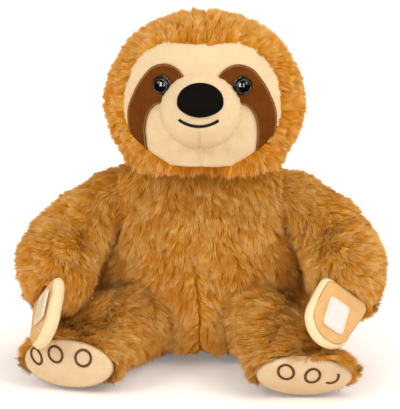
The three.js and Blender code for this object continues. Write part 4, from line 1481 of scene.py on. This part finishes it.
@dataclass
class Hand:
    """A hand: a flat stuffed tongue of velour with a tan palm and a fastening patch."""

    finishes: Finishes
    side: Side
    patch_size: tuple[float, float] = (17.0, 23.5)
    patch_corner: float = 3.4
    patch_thickness: float = 1.3
    palm_shift: tuple[float, float] = (1.3, 1.2)
    palm_share: float = 0.9
    sewn_in: float = 1.4

    def __post_init__(self) -> None:
        """Finds the hand's frame: X along the seam, Z up from the tip, the palm at -Y."""
        self.patch_place = PATCH_PLACES[self.side]
        self.thickness = HAND_THICKNESS[self.side]
        inner, outer, tip = (Vector(p) for p in WRISTS[self.side])
        along = (outer - inner).normalized()
        middle = (inner + outer) / 2
        up = middle - tip
        up = (up - along * up.dot(along)).normalized()
        back = up.cross(along) * self.side.value
        self.axes = np.array([along, back, up])
        self.middle = np.array(middle)

    def place(self, points: Array) -> Array:
        """Moves points of the hand's frame into the body's frame."""
        return points @ self.axes + self.middle

    def off(self, places: Array) -> Array:
        """How far places are from the hand, in millimetres."""
        local = (places - self.middle) @ self.axes.T
        wide = np.maximum(0.0, np.abs(local[:, 0]) - HAND_SEAM / 2)
        deep = np.maximum(0.0, np.abs(local[:, 1]) - self.thickness / 2)
        high = np.maximum(0.0, local[:, 2] - 1.5)
        return np.sqrt(wide**2 + deep**2 + high**2)

    def outline(self, turn: Array) -> Array:
        """The tongue's outline in directions from its middle, in the hand's own plane."""
        tip = -HAND_LENGTH + HAND_TIP_RADIUS
        half = HAND_SEAM / 2
        ring = []
        for angle in np.linspace(math.pi, math.tau, 25):
            x, z = HAND_TIP_RADIUS * math.cos(angle), HAND_TIP_RADIUS * math.sin(angle)
            ring.append((HAND_TIP_OFFSET + x, tip + z))
        ring += [(half + HAND_TIP_OFFSET / 3, tip * 0.4), (half, 0.0), (half - 2, 4.0), (half - 6, 5.2)]
        ring += [(-half + 6, 5.2), (-half + 2, 4.0), (-half - 0.8, 0.0)]
        ring += [(-half - 2.6, tip * 0.3), (-half - 4.2, tip * 0.65)]
        ring = np.array(ring + ring[:1]) - HAND_MIDDLE
        at = np.linspace(0, len(ring) - 1, 400, endpoint=False)
        limit = reach_of(rows_at(at, np.arange(len(ring)), ring), turn)
        return np.stack([np.cos(turn) * limit, np.sin(turn) * limit], axis=1)

    def stand(self, flat: Array, deep: Array) -> Array:
        """Places at depths behind points of the hand's plane, in the body's frame."""
        return self.place(np.stack([flat[:, 0], deep, flat[:, 1]], axis=1))

    def pad(self, share: Array, turn: Array, face: Array) -> Array:
        """The pad's surface, a stuffed tongue with a faintly uneven filling."""
        flat = self.outline(turn) * share[:, None] + HAND_MIDDLE
        full = np.sqrt(np.maximum(0.0, 1.0 - share**4))
        crown = wander(np.stack([flat[:, 0], share * 0, flat[:, 1]], axis=1), 19.0, 5) * 0.25 * full
        return self.stand(flat, -np.sign(face) * self.thickness / 2 * full + crown)

    def palm_depth(self, flat: Array) -> Array:
        """How far the pad's palm lies before the hand's middle plane."""
        off = flat - HAND_MIDDLE
        limit = np.linalg.norm(self.outline(np.arctan2(off[:, 1], off[:, 0])), axis=1)
        share = np.minimum(1.0, np.linalg.norm(off, axis=1) / limit)
        return self.thickness / 2 * np.sqrt(np.maximum(0.0, 1.0 - share**4))

    def palm(self, share: Array, turn: Array, face: Array) -> Array:
        """The palm panel's surface, which is sewn onto the pad nearer its outer edge."""
        middle = np.array(HAND_MIDDLE) + self.palm_shift
        flat = self.outline(turn) * share[:, None] * self.palm_share + middle
        rise = 0.55 * np.sqrt(np.maximum(0.0, 1.0 - share**10))
        return self.stand(flat, -self.palm_depth(flat) - np.where(face > 0, rise, -rise))

    def build(self) -> None:
        """Builds the cover, the tan panel of the palm and the patch."""
        word = self.side.word
        nodes = [f"hand_cover_{word}", f"hand_stuffing_{word}"]
        hand, slot = f"hand_{word}", "cream_velour"
        add_piece(hand, cushion(self.pad, (96, 40)), self.finishes.rim, hand, nodes)
        add_piece(f"palm_{word}", cushion(self.palm, (96, 32)), self.finishes.palm, hand)
        self.build_patch()

    def build_patch(self) -> None:
        """Builds the fastening tape's patch, a rounded square sewn round its edge."""
        right = self.side is Side.RIGHT
        kind, cloth = ("loop", self.finishes.tape) if right else ("hook", self.finishes.hooks)
        wide, high = self.patch_size
        bevel = {"profile": 0.5, "affect": "EDGES", "material": -1}
        form = bmesh.new()
        bmesh.ops.create_cube(form, size=1.0)
        bmesh.ops.scale(form, verts=form.verts, vec=(wide, self.patch_thickness, high))
        corners = [e for e in form.edges if abs(e.verts[0].co.y - e.verts[1].co.y) > 0.1]
        bmesh.ops.bevel(form, geom=corners, offset=self.patch_corner, segments=6, **bevel)
        level = [e for e in form.edges if abs(e.verts[0].co.y - e.verts[1].co.y) < 0.01]
        rims = [e for e in level if e.verts[0].co.y < 0]
        bmesh.ops.bevel(form, geom=rims, offset=0.4, segments=2, **bevel)
        front = -self.thickness / 2 - 0.6 - self.patch_thickness / 2
        offset = (self.patch_place[0], front, self.patch_place[1])
        move_to(form, self.place(np.array([v.co for v in form.verts]) + offset))
        hand, name = f"hand_{self.side.word}", f"{kind}_tape"
        add_piece(name, finish_bmesh(form), cloth, hand, [f"{kind}_patch"], smooth=False)
        turn = np.linspace(0, math.tau, 120, endpoint=False)
        round_ = np.stack([np.cos(turn), np.sin(turn)], axis=1)
        sewn = np.abs(round_) / (wide / 2 - self.sewn_in, high / 2 - self.sewn_in)
        line = round_ / ((sewn**8).sum(axis=1) ** (1 / 8))[:, None] + self.patch_place
        path = self.stand(line, np.full(len(turn), front - self.patch_thickness / 2 - 0.02))
        mesh = embroider(path, np.tile(-self.axes[1], (len(turn), 1)), 0.8, 0.4, True)
        add_piece(f"{name}_sewing", mesh, self.finishes.cream_floss, hand)


SOLE_HALF = (33.0, 17.0)
SOLE_DROP = 0.3
SOLE_DOME = 5.5
SOLE_EDGE = 2.0
SOLE_CLOTH = 1.6
SOLE_LIFT = 0.3


@dataclass(kw_only=True)
class Leg(FurPart):
    """A leg and foot, with a domed sole panel and three embroidered toe rings."""

    side: Side
    toe_radius: float = 5.6
    toe_line: float = 2.1
    toe_rise: float = 0.3

    def __post_init__(self) -> None:
        """Builds the leg's form and the sole's frame."""
        self.form = leg_form(self.side)
        frame = np.array(self.form.sole_matrix())
        self.turn, self.middle = frame[:3, :3], frame[:3, 3]
        self.trunk = tree_of(BODY_FORM.skin())

    def ahead(self, places: Array) -> Array:
        """How far places lie in front of the foot's cut, in millimetres."""
        return -((places - self.middle) @ self.turn)[:, 1]

    def outward(self, places: Array) -> Array:
        """How far places lie from the foot's middle towards its outer side, in millimetres."""
        return ((places - self.middle) @ self.turn)[:, 0] * self.side.value

    def above(self, places: Array) -> Array:
        """Where the fringe hangs over the sole's upper outer edge, from 0 to 1."""
        up = ((places - self.middle) @ self.turn)[:, 2]
        return smooth_step(up, 4.0, 13.0) * smooth_step(self.outward(places), -9.0, 10.0)

    def on_sole(self, points: Array) -> Array:
        """Moves points of the sole's frame into the body's frame."""
        return points @ self.turn.T + self.middle

    def comb(self, places: Array, normals: Array) -> Array:
        """The pile runs down the leg to the foot, and spreads round the sole."""
        back = np.array(self.form.matrix())[:3, 1]
        inward = np.array((-0.7 * self.side.value, 0.0, -0.75))
        spread = unit(places - self.middle)
        spread[:, 2] *= np.where(spread[:, 2] > 0, -0.55, 1.0)
        outer = smooth_step(self.outward(places), -26.0, 0.0)
        near = (smooth_step(self.ahead(places), -26.0, -4.0) * (0.25 + 0.75 * outer))[:, None]
        return inward * (1 - near) - back * (0.35 + 0.5 * near) + spread * near

    def keep(self, places: Array) -> Array:
        """Leaves out what lies in the body and in front of the foot's cut."""
        limit = self.form.pose.fringe * self.above(places) - 0.5
        return (self.ahead(places) < limit) & (clearance(self.trunk, places) > -12.0)

    def short(self, places: Array) -> Array:
        """The pile is shorter round the sole and under the leg."""
        out = smooth_step(self.outward(places), 8.0, 30.0)
        near = 1.0 - (0.25 - 0.1 * out) * smooth_step(self.ahead(places), -16.0, -1.0)
        return near * (0.4 + 0.6 * smooth_step(places[:, 2], 0.0, 8.0))

    def bare(self, places: Array) -> Array:
        """The backing is bare under the sole too."""
        return np.maximum(super().bare(places), smooth_step(self.ahead(places), -9.0, -4.0))

    def plump(self, places: Array, normals: Array) -> Array:
        """The stuffing pushes up the thigh by the body, the outer side of the foot, and the fringe."""
        ahead = self.ahead(places)
        top = smooth_step(normals[:, 2], 0.0, 0.8) * smooth_step(places[:, 2], 20.0, 40.0)
        top *= smooth_step(-ahead, 14.0, 45.0)
        fringe = self.above(places) * smooth_step(ahead, -5.0, -1.0) * (self.form.pose.fringe > 0)
        side = smooth_step(self.outward(places), 8.0, 28.0) * smooth_step(ahead, -32.0, -10.0)
        side *= smooth_step(places[:, 2], 3.0, 12.0)
        return 8.0 * top + 4.5 * fringe + 3.0 * side

    def sole_front(self, share: Array, turn: Array) -> Array:
        """The height of the sole's dome, with the puckers at its seam."""
        pucker = 0.18 * np.cos(26 * turn + 2 * np.sin(3 * turn)) * smooth_step(share, 0.7, 0.97)
        dome = SOLE_EDGE + (SOLE_DOME - SOLE_EDGE) * (1 - share**2)
        return dome - SOLE_CLOTH * smooth_step(share, 0.9, 1.0) + pucker

    def sole(self, share: Array, turn: Array, face: Array) -> Array:
        """The sole panel's surface."""
        across = share * np.cos(turn) * SOLE_HALF[0]
        up = share * np.sin(turn) * SOLE_HALF[1] - SOLE_DROP
        deep = np.where(face > 0, 0.0, SOLE_CLOTH) - self.sole_front(share, turn) - SOLE_LIFT
        return self.on_sole(np.stack([across, deep, up], axis=1))

    def build_toe(self, number: int, toe: Toe) -> None:
        """Builds one embroidered toe ring; the last one may show only an arc."""
        word = self.side.word
        shown = self.form.pose.last_ring if number == 3 else (0.0, 360.0)
        whole = shown[1] - shown[0] == 360.0
        turn = np.radians(np.linspace(*shown, 72, endpoint=not whole))
        wide = self.toe_radius * (0.97 + 0.03 * np.cos(2 * turn + number - 1))
        across, up = wide * toe.squeeze * np.cos(turn), wide * 1.06 * np.sin(turn)
        lean = math.radians(toe.lean)
        x = self.side.value * toe.out + across * math.cos(lean) - up * math.sin(lean)
        z = toe.lift - SOLE_DROP + across * math.sin(lean) + up * math.cos(lean)
        east, north = x / SOLE_HALF[0], (z + SOLE_DROP) / SOLE_HALF[1]
        height = self.sole_front(np.hypot(east, north), np.arctan2(north, east))
        path = self.on_sole(np.stack([x, -height - SOLE_LIFT - self.toe_rise, z], axis=1))
        slope = 2 * (SOLE_DOME - SOLE_EDGE)
        tilt = [slope * x / SOLE_HALF[0] ** 2, -np.ones(len(turn)), slope * z / SOLE_HALF[1] ** 2]
        facing = unit(np.stack(tilt, axis=1)) @ self.turn.T
        mesh = embroider(path, facing, self.toe_line, 0.45, whole)
        nodes = [f"toe_ring_{word}_{number}"]
        add_piece(f"toe_{word}_{number}", mesh, self.finishes.brown_floss, f"leg_{word}", nodes)

    def build(self) -> None:
        """Builds the leg's pieces."""
        word = self.side.word
        leg = f"leg_{word}"
        panels = {f"leg_pile_{word}": lambda p: np.ones(len(p), dtype=bool)}
        self.build_part(leg, self.form, panels, LEG_FRONT, 41 + self.side.value)
        mesh, nodes = cushion(self.sole, (120, 48)), [f"sole_{word}"]
        add_piece(f"sole_pad_{word}", mesh, self.finishes.sole, leg, nodes)
        for number, toe in enumerate(self.form.pose.toes, start=1):
            self.build_toe(number, toe)


EYE_PATCH_OUTER = (
    (0.2, 0.52),
    (0.29, 0.65),
    (0.44, 0.715),
    (0.61, 0.66),
    (0.765, 0.46),
    (0.872, 0.222),
    (0.936, 0.0),
    (0.945, -0.222),
    (0.927, -0.378),
    (0.835, -0.556),
    (0.672, -0.733),
)
EYE_PATCH_INNER = (
    (0.2, 0.52),
    (0.303, 0.4),
    (0.376, 0.289),
    (0.459, 0.144),
    (0.569, 0.089),
    (0.66, -0.044),
    (0.703, -0.244),
    (0.697, -0.489),
    (0.672, -0.733),
)


@dataclass
class Face:
    """The velour face panel with its two brown eye patches."""

    finishes: Finishes
    sink: float = 6.0
    cloth: float = 1.6
    under_fur: float = 1.06
    patch_rise: float = 1.5
    patch_cloth: float = 1.0
    patch_faces: tuple[int, int] = (72, 16)
    sewn_in: float = 0.9
    sewn_gap: float = 4.5
    muzzle_height: float = 189.3

    def __post_init__(self) -> None:
        """Prepares the surface that the panel and the patches lie on."""
        self.ground = tree_of(HEAD_FORM.skin(self.sink))

    def lift(self, across: Array, up: Array) -> Array:
        """How far the stuffed face stands out from the head's form: cheeks, brow and chin seam."""
        cheeks = 2.6 * np.exp(-(((np.abs(across) - 27) / 14) ** 2) - ((up + 20) / 15) ** 2)
        brow = 0.8 * np.exp(-((across / 30) ** 2) - ((up - 30) / 10) ** 2)
        below = smooth_step(-up, 22.0, 27.0)
        seam = 1.5 * np.exp(-((across / 1.3) ** 2)) * below + 0.9 * np.exp(-((across / 6.0) ** 2)) * below
        around = np.hypot(across / 29.0, (up + FACE_HEIGHT - self.muzzle_height) / 28.0)
        crease = 1.3 * np.exp(-(((around - 1.0) / 0.12) ** 2)) * smooth_step(-up, -12.0, 6.0)
        folds = 0.4 * np.cos(15 * np.arctan2(up, across)) * np.exp(-(((around - 1.12) / 0.14) ** 2))
        folds *= smooth_step(-up, -4.0, 8.0)
        tucked = 5.0 * smooth_step(face_reach(across, up - 1.2) - fur_edge(across, up - 1.2), -0.03, 0.06)
        return cheeks + brow - seam - crease + folds - tucked

    def on_face(self, flat: Array) -> Array:
        """Places on the face, from points of the front view round its middle."""
        places = front_of(self.ground, HEAD_SHIFT + flat[:, 0], FACE_HEIGHT + flat[:, 1])
        places[:, 1] -= self.lift(flat[:, 0], flat[:, 1])
        return places

    def panel(self, share: Array, turn: Array, face: Array) -> Array:
        """The face panel's surface, which runs a little under the fur."""
        reach = reach_of(face_outline(240), turn) * share * self.under_fur
        places = self.on_face(np.stack([reach * np.cos(turn), reach * np.sin(turn)], axis=1))
        places[:, 1] += np.where(face > 0, 0.0, self.cloth) + 2.5 * smooth_step(share, 0.95, 1.0)
        return places

    def curve(self, shares: Rows, side: Side, count: int) -> Array:
        """One edge of an eye patch, in the front view."""
        points = np.array(shares) * (side.value * FACE_HALF_WIDTH, FACE_HALF_HEIGHT)
        run = np.concatenate([[0.0], np.cumsum(np.linalg.norm(np.diff(points, axis=0), axis=1))])
        return through(run / run[-1], points, np.linspace(0, 1, count))

    def build_patch(self, side: Side) -> None:
        """Builds one eye patch and the stitching along its edge."""
        along, across = self.patch_faces
        outer, inner = (self.curve(edge, side, along + 1) for edge in (EYE_PATCH_OUTER, EYE_PATCH_INNER))
        form = bmesh.new()
        bmesh.ops.create_grid(form, x_segments=along, y_segments=across, size=0.5)
        share = np.array([v.co[:2] for v in form.verts]) + 0.5
        row = np.rint(share[:, 0] * along).astype(int)
        t = share[:, 1:]
        gap = np.linalg.norm(outer[row] - inner[row], axis=1) * np.minimum(share[:, 1], 1 - share[:, 1])
        places = self.on_face(outer[row] * (1 - t) + inner[row] * t)
        places[:, 1] -= self.patch_rise * np.sqrt(smooth_step(gap, -0.8, 1.4))
        move_to(form, places)
        bmesh.ops.remove_doubles(form, verts=form.verts, dist=0.02)
        form.normal_update()
        if sum(face.normal.y for face in form.faces) > 0:
            bmesh.ops.reverse_faces(form, faces=form.faces)
        bmesh.ops.solidify(form, geom=form.faces[:], thickness=self.patch_cloth)
        cloth, nodes = f"eye_patch_cloth_{side.word}", [f"eye_patch_{side.word}"]
        add_piece(cloth, finish_bmesh(form), self.finishes.brown, "head", nodes)
        self.sew_patch(side, outer, inner)

    def sew_patch(self, side: Side, outer: Array, inner: Array) -> None:
        """Sews one eye patch down inside its edges, where it is wide enough."""
        wide = np.linalg.norm(outer - inner, axis=1) > self.sewn_gap
        middle = (outer + inner) / 2
        out, back = ((edge + unit(middle - edge) * self.sewn_in)[wide] for edge in (outer, inner))
        path = self.on_face(np.concatenate([out, back[::-1]]))
        path[:, 1] -= self.patch_rise + 0.05
        normals = np.tile(np.array((0.0, -1.0, 0.0)), (len(path), 1))
        normals[:, 0] = (path[:, 0] - HEAD_SHIFT) / 70
        mesh = embroider(path, unit(normals), 1.25, 0.5, True)
        add_piece(f"eye_patch_sewing_{side.word}", mesh, self.finishes.edge_floss, "head")

    def build(self) -> None:
        """Builds the panel and the patches."""
        mesh = cushion(self.panel, (224, 64))
        add_piece("face_cloth", mesh, self.finishes.cream, "head", ["face_panel"])
        for side in Side:
            self.build_patch(side)


@dataclass
class Muzzle:
    """The stuffed muzzle with its chin seam, the nose and the embroidered mouth."""

    finishes: Finishes
    half: tuple[float, float, float] = (28.0, 27.0, 26.5)
    height: float = 189.6
    sink: float = 6.0
    set_in: float = 5.0
    nose_half: tuple[float, float, float] = (15.6, 4.5, 12.7)
    nose_rise: float = 11.7
    nose_shift: float = 0.9
    nose_tilt: float = 30.0
    mouth_width: float = 26.5
    mouth_sag: float = 3.8
    mouth_drop: float = 1.6
    mouth_line: float = 2.53

    def __post_init__(self) -> None:
        """Finds the muzzle's middle on the face."""
        self.middle = front_of(tree_of(HEAD_FORM.skin(self.sink)), [HEAD_SHIFT], [self.height])[0]
        self.middle[1] += self.set_in

    def surface(self, ball: Array) -> Array:
        """Maps a ball, whose pole looks ahead, onto the muzzle, with gathers at its seam."""
        turn = np.arctan2(ball[:, 2], ball[:, 0])
        gathers = 0.22 * np.cos(30 * turn + 3 * np.sin(2 * turn)) * smooth_step(ball[:, 1], -0.75, 0.1)
        off_chin = np.abs((turn + math.pi / 2 + math.pi) % math.tau - math.pi)
        out = np.sqrt(np.maximum(1e-9, ball[:, 0] ** 2 + ball[:, 2] ** 2))
        across = out * np.sin(np.minimum(off_chin, 1.5)) * self.half[1]
        seam = -1.3 * np.exp(-(across**2)) * smooth_step(-ball[:, 2], 0.3, 0.55)
        swell = 1.0 + (gathers + seam) / self.half[1]
        return self.middle + ball * np.array(self.half) * swell[:, None]

    def skin(self) -> bmesh.types.BMesh:
        """Builds the muzzle's skin."""
        form, ball = ball_of((224, 64), tipped=True)
        move_to(form, self.surface(ball))
        return form

    def build_nose(self, ground: BVHTree) -> None:
        """Builds the nose, an oval of black velour stuffed almost flat."""
        place = front_of(ground, [HEAD_SHIFT + self.nose_shift], [self.height + self.nose_rise])[0]
        form, ball = ball_of((96, 48), tipped=True)
        for vertex, (x, y, z) in zip(form.verts, ball):
            flat = 0.93 if z < 0 else 1.0
            full = 1.0 + 0.06 * math.exp(-(((z + 0.5) / 0.35) ** 2)) * abs(x)
            rim = math.hypot(x, z)
            deep = math.copysign((1 - rim**3) ** 0.5, y) if rim < 1 else 0.0
            vertex.co = Vector((x * full, deep, z * flat)) * Vector(self.nose_half)
        tilt = Matrix.Rotation(-math.radians(self.nose_tilt), 3, "X")
        bmesh.ops.rotate(form, verts=form.verts, matrix=tilt)
        bmesh.ops.translate(form, verts=form.verts, vec=place)
        mesh = finish_bmesh(form)
        add_piece("nose_cover", mesh, self.finishes.nose, "head", ["nose"])

    def build_mouth(self, ground: BVHTree) -> None:
        """Builds the mouth, a shallow arc of black satin stitches."""
        half, sag = self.mouth_width / 2, self.mouth_sag
        radius = (half * half + sag * sag) / (2 * sag)
        centre = self.height - self.mouth_drop - sag + radius
        reach = math.asin(half / radius)
        turn = np.linspace(-reach, reach, 60) - math.pi / 2
        path = front_of(ground, HEAD_SHIFT + radius * np.cos(turn), centre + radius * np.sin(turn))
        normals = unit((path - self.middle) / np.array(self.half) ** 2)
        mesh = embroider(path + normals * 0.4, normals, self.mouth_line, 0.42, False)
        add_piece("mouth_stitches", mesh, self.finishes.black_floss, "head", ["mouth"])

    def build(self) -> None:
        """Builds the muzzle's pieces."""
        ground = tree_of(self.skin())
        mesh, nodes = finish_bmesh(self.skin()), ["muzzle_cover", "muzzle_stuffing"]
        add_piece("muzzle_pad", mesh, self.finishes.cream, "head", nodes)
        self.build_nose(ground)
        self.build_mouth(ground)


@dataclass
class Eyes:
    """Two safety eyes: a glossy dome on a flange, with a washer on the stem behind the face."""

    finishes: Finishes
    nodes: dict[str, bpy.types.Object]
    spacing: float = 54.6
    height: float = 207.3
    shift: float = 0.9
    sink: float = 4.5
    radius: float = 6.7
    dome: float = 5.95
    bulge: float = 4.7
    flange: float = 0.8
    step: float = 0.1
    seat: float = 0.35
    # Where the ring of painted reflection sits on the dome, as a share of its radius, and how thick it is.
    ring: float = 0.8
    ring_line: float = 0.2
    toe_out: float = 17.0
    stem: tuple[float, float] = (2.2, 14.0)

    def frame(self, side: Side, ground: BVHTree) -> Matrix:
        """The place of one eye on the face; its dome looks along -Y."""
        turn = math.radians(side.value * self.toe_out)
        middle = HEAD_SHIFT + self.shift + side.value * self.spacing / 2
        place = Vector(front_of(ground, [middle], [self.height])[0])
        ahead = Vector((math.sin(turn), -math.cos(turn), 0.0))
        return Matrix.Translation(place + ahead * self.seat) @ Matrix.Rotation(turn, 4, "Z")

    def add_turned(
        self,
        name: str,
        form: bmesh.types.BMesh,
        frame: Matrix,
        finish: bpy.types.Material,
        nodes: Sequence[str] = (),
    ) -> None:
        """Turns a profile once round the eye's axis, puts it in its place and adds the piece.

        Args:
            name: The piece's name.
            form: The profile, in the plane of X and Y.
            frame: The eye's place.
            finish: The piece's finish.
            nodes: The solids that it stands for.
        """
        profile = form.verts[:] + form.edges[:]
        turned = {"cent": (0, 0, 0), "axis": (0, 1, 0), "angle": math.tau}
        bmesh.ops.spin(form, geom=profile, steps=48, use_merge=True, **turned)
        bmesh.ops.remove_doubles(form, verts=form.verts, dist=1e-4)
        bmesh.ops.transform(form, matrix=frame, verts=form.verts)
        add_piece(name, finish_bmesh(form), finish, "head", nodes)

    def build_eye(self, side: Side, frame: Matrix) -> None:
        """Builds one eye by turning its profile, from the stem's end to the top of the dome."""
        flange = self.flange
        profile = [(0.0, -self.stem[1]), (self.stem[0], -self.stem[1]), (self.stem[0], 0.0)]
        profile += [(self.radius - 0.3, 0.0), (self.radius, 0.3), (self.radius - 0.15, flange - 0.1)]
        profile += [(self.radius - 0.4, flange), (self.dome + 0.15, flange), (self.dome, flange - 0.15)]
        for turn in np.linspace(0.0, math.pi / 2, 13):
            rise = flange + self.step + self.bulge * math.sin(turn)
            profile.append((self.dome * math.cos(turn), rise))
        form = bmesh.new()
        points = [form.verts.new((out, -along, 0.0)) for out, along in profile]
        points[-1].co.x = 0.0
        for pair in zip(points, points[1:]):
            form.edges.new(pair)
        self.add_turned(f"safety_eye_{side.word}", form, frame, self.finishes.eye, [f"eye_{side.word}"])

    def build_ring(self, side: Side, frame: Matrix) -> None:
        """Builds a grey ring on the eye's dome round its pupil: a painted reflection of the light that the
        dome catches near its flange.
        """
        rise = self.flange + self.step + self.bulge * math.sqrt(1 - self.ring**2)
        form = bmesh.new()
        bmesh.ops.create_circle(form, segments=8, radius=self.ring_line)
        bmesh.ops.translate(form, verts=form.verts, vec=(self.ring * self.dome, -rise, 0.0))
        self.add_turned(f"eye_ring_{side.word}", form, frame, self.finishes.ring)

    def build(self) -> None:
        """Builds the eyes with their rings of painted reflection, and dresses the washers."""
        ground = tree_of(HEAD_FORM.skin(self.sink))
        for side in Side:
            frame = self.frame(side, ground)
            self.build_eye(side, frame)
            self.build_ring(side, frame)
            for slot in self.nodes[f"eye_washer_{side.word}"].material_slots:
                slot.material = self.finishes.washer


class Softbox(NamedTuple):
    """A softbox in metres and watts; a mirrored one shows only in glossy surfaces."""

    name: str
    place: tuple[float, float, float]
    size: tuple[float, float]
    power: float
    mirrored: bool = False


SOFTBOXES = (
    Softbox("softbox_left", (-1.15, -0.85, 1.0), (0.8, 0.8), 10.4),
    Softbox("softbox_right", (1.3, -0.65, 0.95), (0.8, 0.8), 10.8),
    Softbox("softbox_low", (0.1, -1.3, 0.1), (1.0, 0.4), 4.2),
    Softbox("softbox_top", (0.5, 0.0, 1.4), (1.0, 1.0), 4.8),
    Softbox("strip_left", (-0.55, -1.4, 0.5), (0.6, 1.3), 56.0, mirrored=True),
    Softbox("strip_right", (0.6, -1.4, 0.5), (0.25, 1.2), 19.0, mirrored=True),
)


@dataclass
class Studio:
    """A pale floor, an even room, softboxes and the camera at the photograph's angle."""

    target: tuple[float, float, float] = (0.0, -20.0, 120.0)
    turn: float = 3.37
    rise: float = 13.9
    distance: float = 1600.0
    lens: float = 199.7
    shift: tuple[float, float] = (-0.0056, -0.019)
    floor_half: float = 4.0
    aim: tuple[float, float, float] = (0.0, 0.0, 0.1)

    def build_camera(self) -> None:
        """Puts the camera where the photograph was taken from."""
        turn, rise = math.radians(self.turn), math.radians(self.rise)
        ahead = Vector((-math.sin(turn) * math.cos(rise), math.cos(turn) * math.cos(rise), -math.sin(rise)))
        camera = bpy.data.cameras.new("camera")
        camera.lens = self.lens
        camera.sensor_width = 36.0
        camera.shift_x, camera.shift_y = self.shift
        camera.clip_start, camera.clip_end = 0.05, 20.0
        item = bpy.data.objects.new("camera", camera)
        item.location = (Vector(self.target) + BODY_TO_FRAME - ahead * self.distance) * MM
        item.rotation_euler = ahead.to_track_quat("-Z", "Y").to_euler()
        bpy.context.scene.collection.objects.link(item)
        bpy.context.scene.camera = item

    def build_softbox(self, box: Softbox) -> None:
        """Adds one softbox that looks at the toy."""
        light = bpy.data.lights.new(box.name, "AREA")
        light.shape = "RECTANGLE"
        light.size, light.size_y = box.size
        light.energy = box.power
        item = bpy.data.objects.new(box.name, light)
        item.location = box.place
        item.rotation_euler = (Vector(self.aim) - Vector(box.place)).to_track_quat("-Z", "Y").to_euler()
        item.visible_diffuse = not box.mirrored
        bpy.context.scene.collection.objects.link(item)

    def build_floor(self) -> None:
        """Lays the floor."""
        form = bmesh.new()
        bmesh.ops.create_grid(form, x_segments=1, y_segments=1, size=self.floor_half)
        mesh = bpy.data.meshes.new("floor")
        form.to_mesh(mesh)
        form.free()
        to_object("floor", mesh, MattFloor().make(), smooth=False)

    def build_world(self) -> None:
        """Lights the room evenly and shows the camera a white background."""
        world = bpy.data.worlds.new("room")
        world.use_nodes = True
        bpy.context.scene.world = world
        tree = world.node_tree
        tree.nodes.clear()
        rays = add_node(tree, "LightPath").outputs
        both = {0: rays["Is Camera Ray"], 1: rays["Is Transmission Ray"]}
        seen = add_node(tree, "Math", both, operation="MAXIMUM")
        dull = add_node(tree, "MapRange", {"Value": rays["Is Glossy Ray"], "To Min": 0.84, "To Max": 0.1})
        limits = {"To Min": dull.outputs[0], "To Max": 1.0}
        level = add_node(tree, "MapRange", {"Value": seen.outputs[0]} | limits)
        shade = add_node(tree, "Background", {"Strength": level.outputs[0]})
        add_node(tree, "OutputWorld", {"Surface": shade.outputs[0]})

    def build(self) -> None:
        """Builds the stage."""
        bpy.context.scene.view_settings.view_transform = "Standard"
        self.build_camera()
        self.build_floor()
        self.build_world()
        for box in SOFTBOXES:
            self.build_softbox(box)


def main() -> None:
    """Builds the toy, the floor, the light and the camera."""
    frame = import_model()
    nodes = frame["nodes"]
    finishes = Finishes()
    strand = PileStrand().make()
    Studio().build()
    hands = {side: Hand(finishes, side) for side in Side}
    around = [make(side) for side in Side for make in (arm_form, leg_form)] + [HEAD_FORM]
    around = [tree_of(form.skin()) for form in around]
    Torso(nodes, finishes, strand, around=around).build()
    Head(nodes, finishes, strand).build()
    Face(finishes).build()
    Muzzle(finishes).build()
    Eyes(finishes, nodes).build()
    for side in Side:
        Arm(nodes, finishes, strand, side=side, hand=hands[side]).build()
        hands[side].build()
        Leg(nodes, finishes, strand, side=side).build()


if __name__ == "__main__":
    logging.basicConfig(level=logging.INFO, format="%(message)s")
    main()
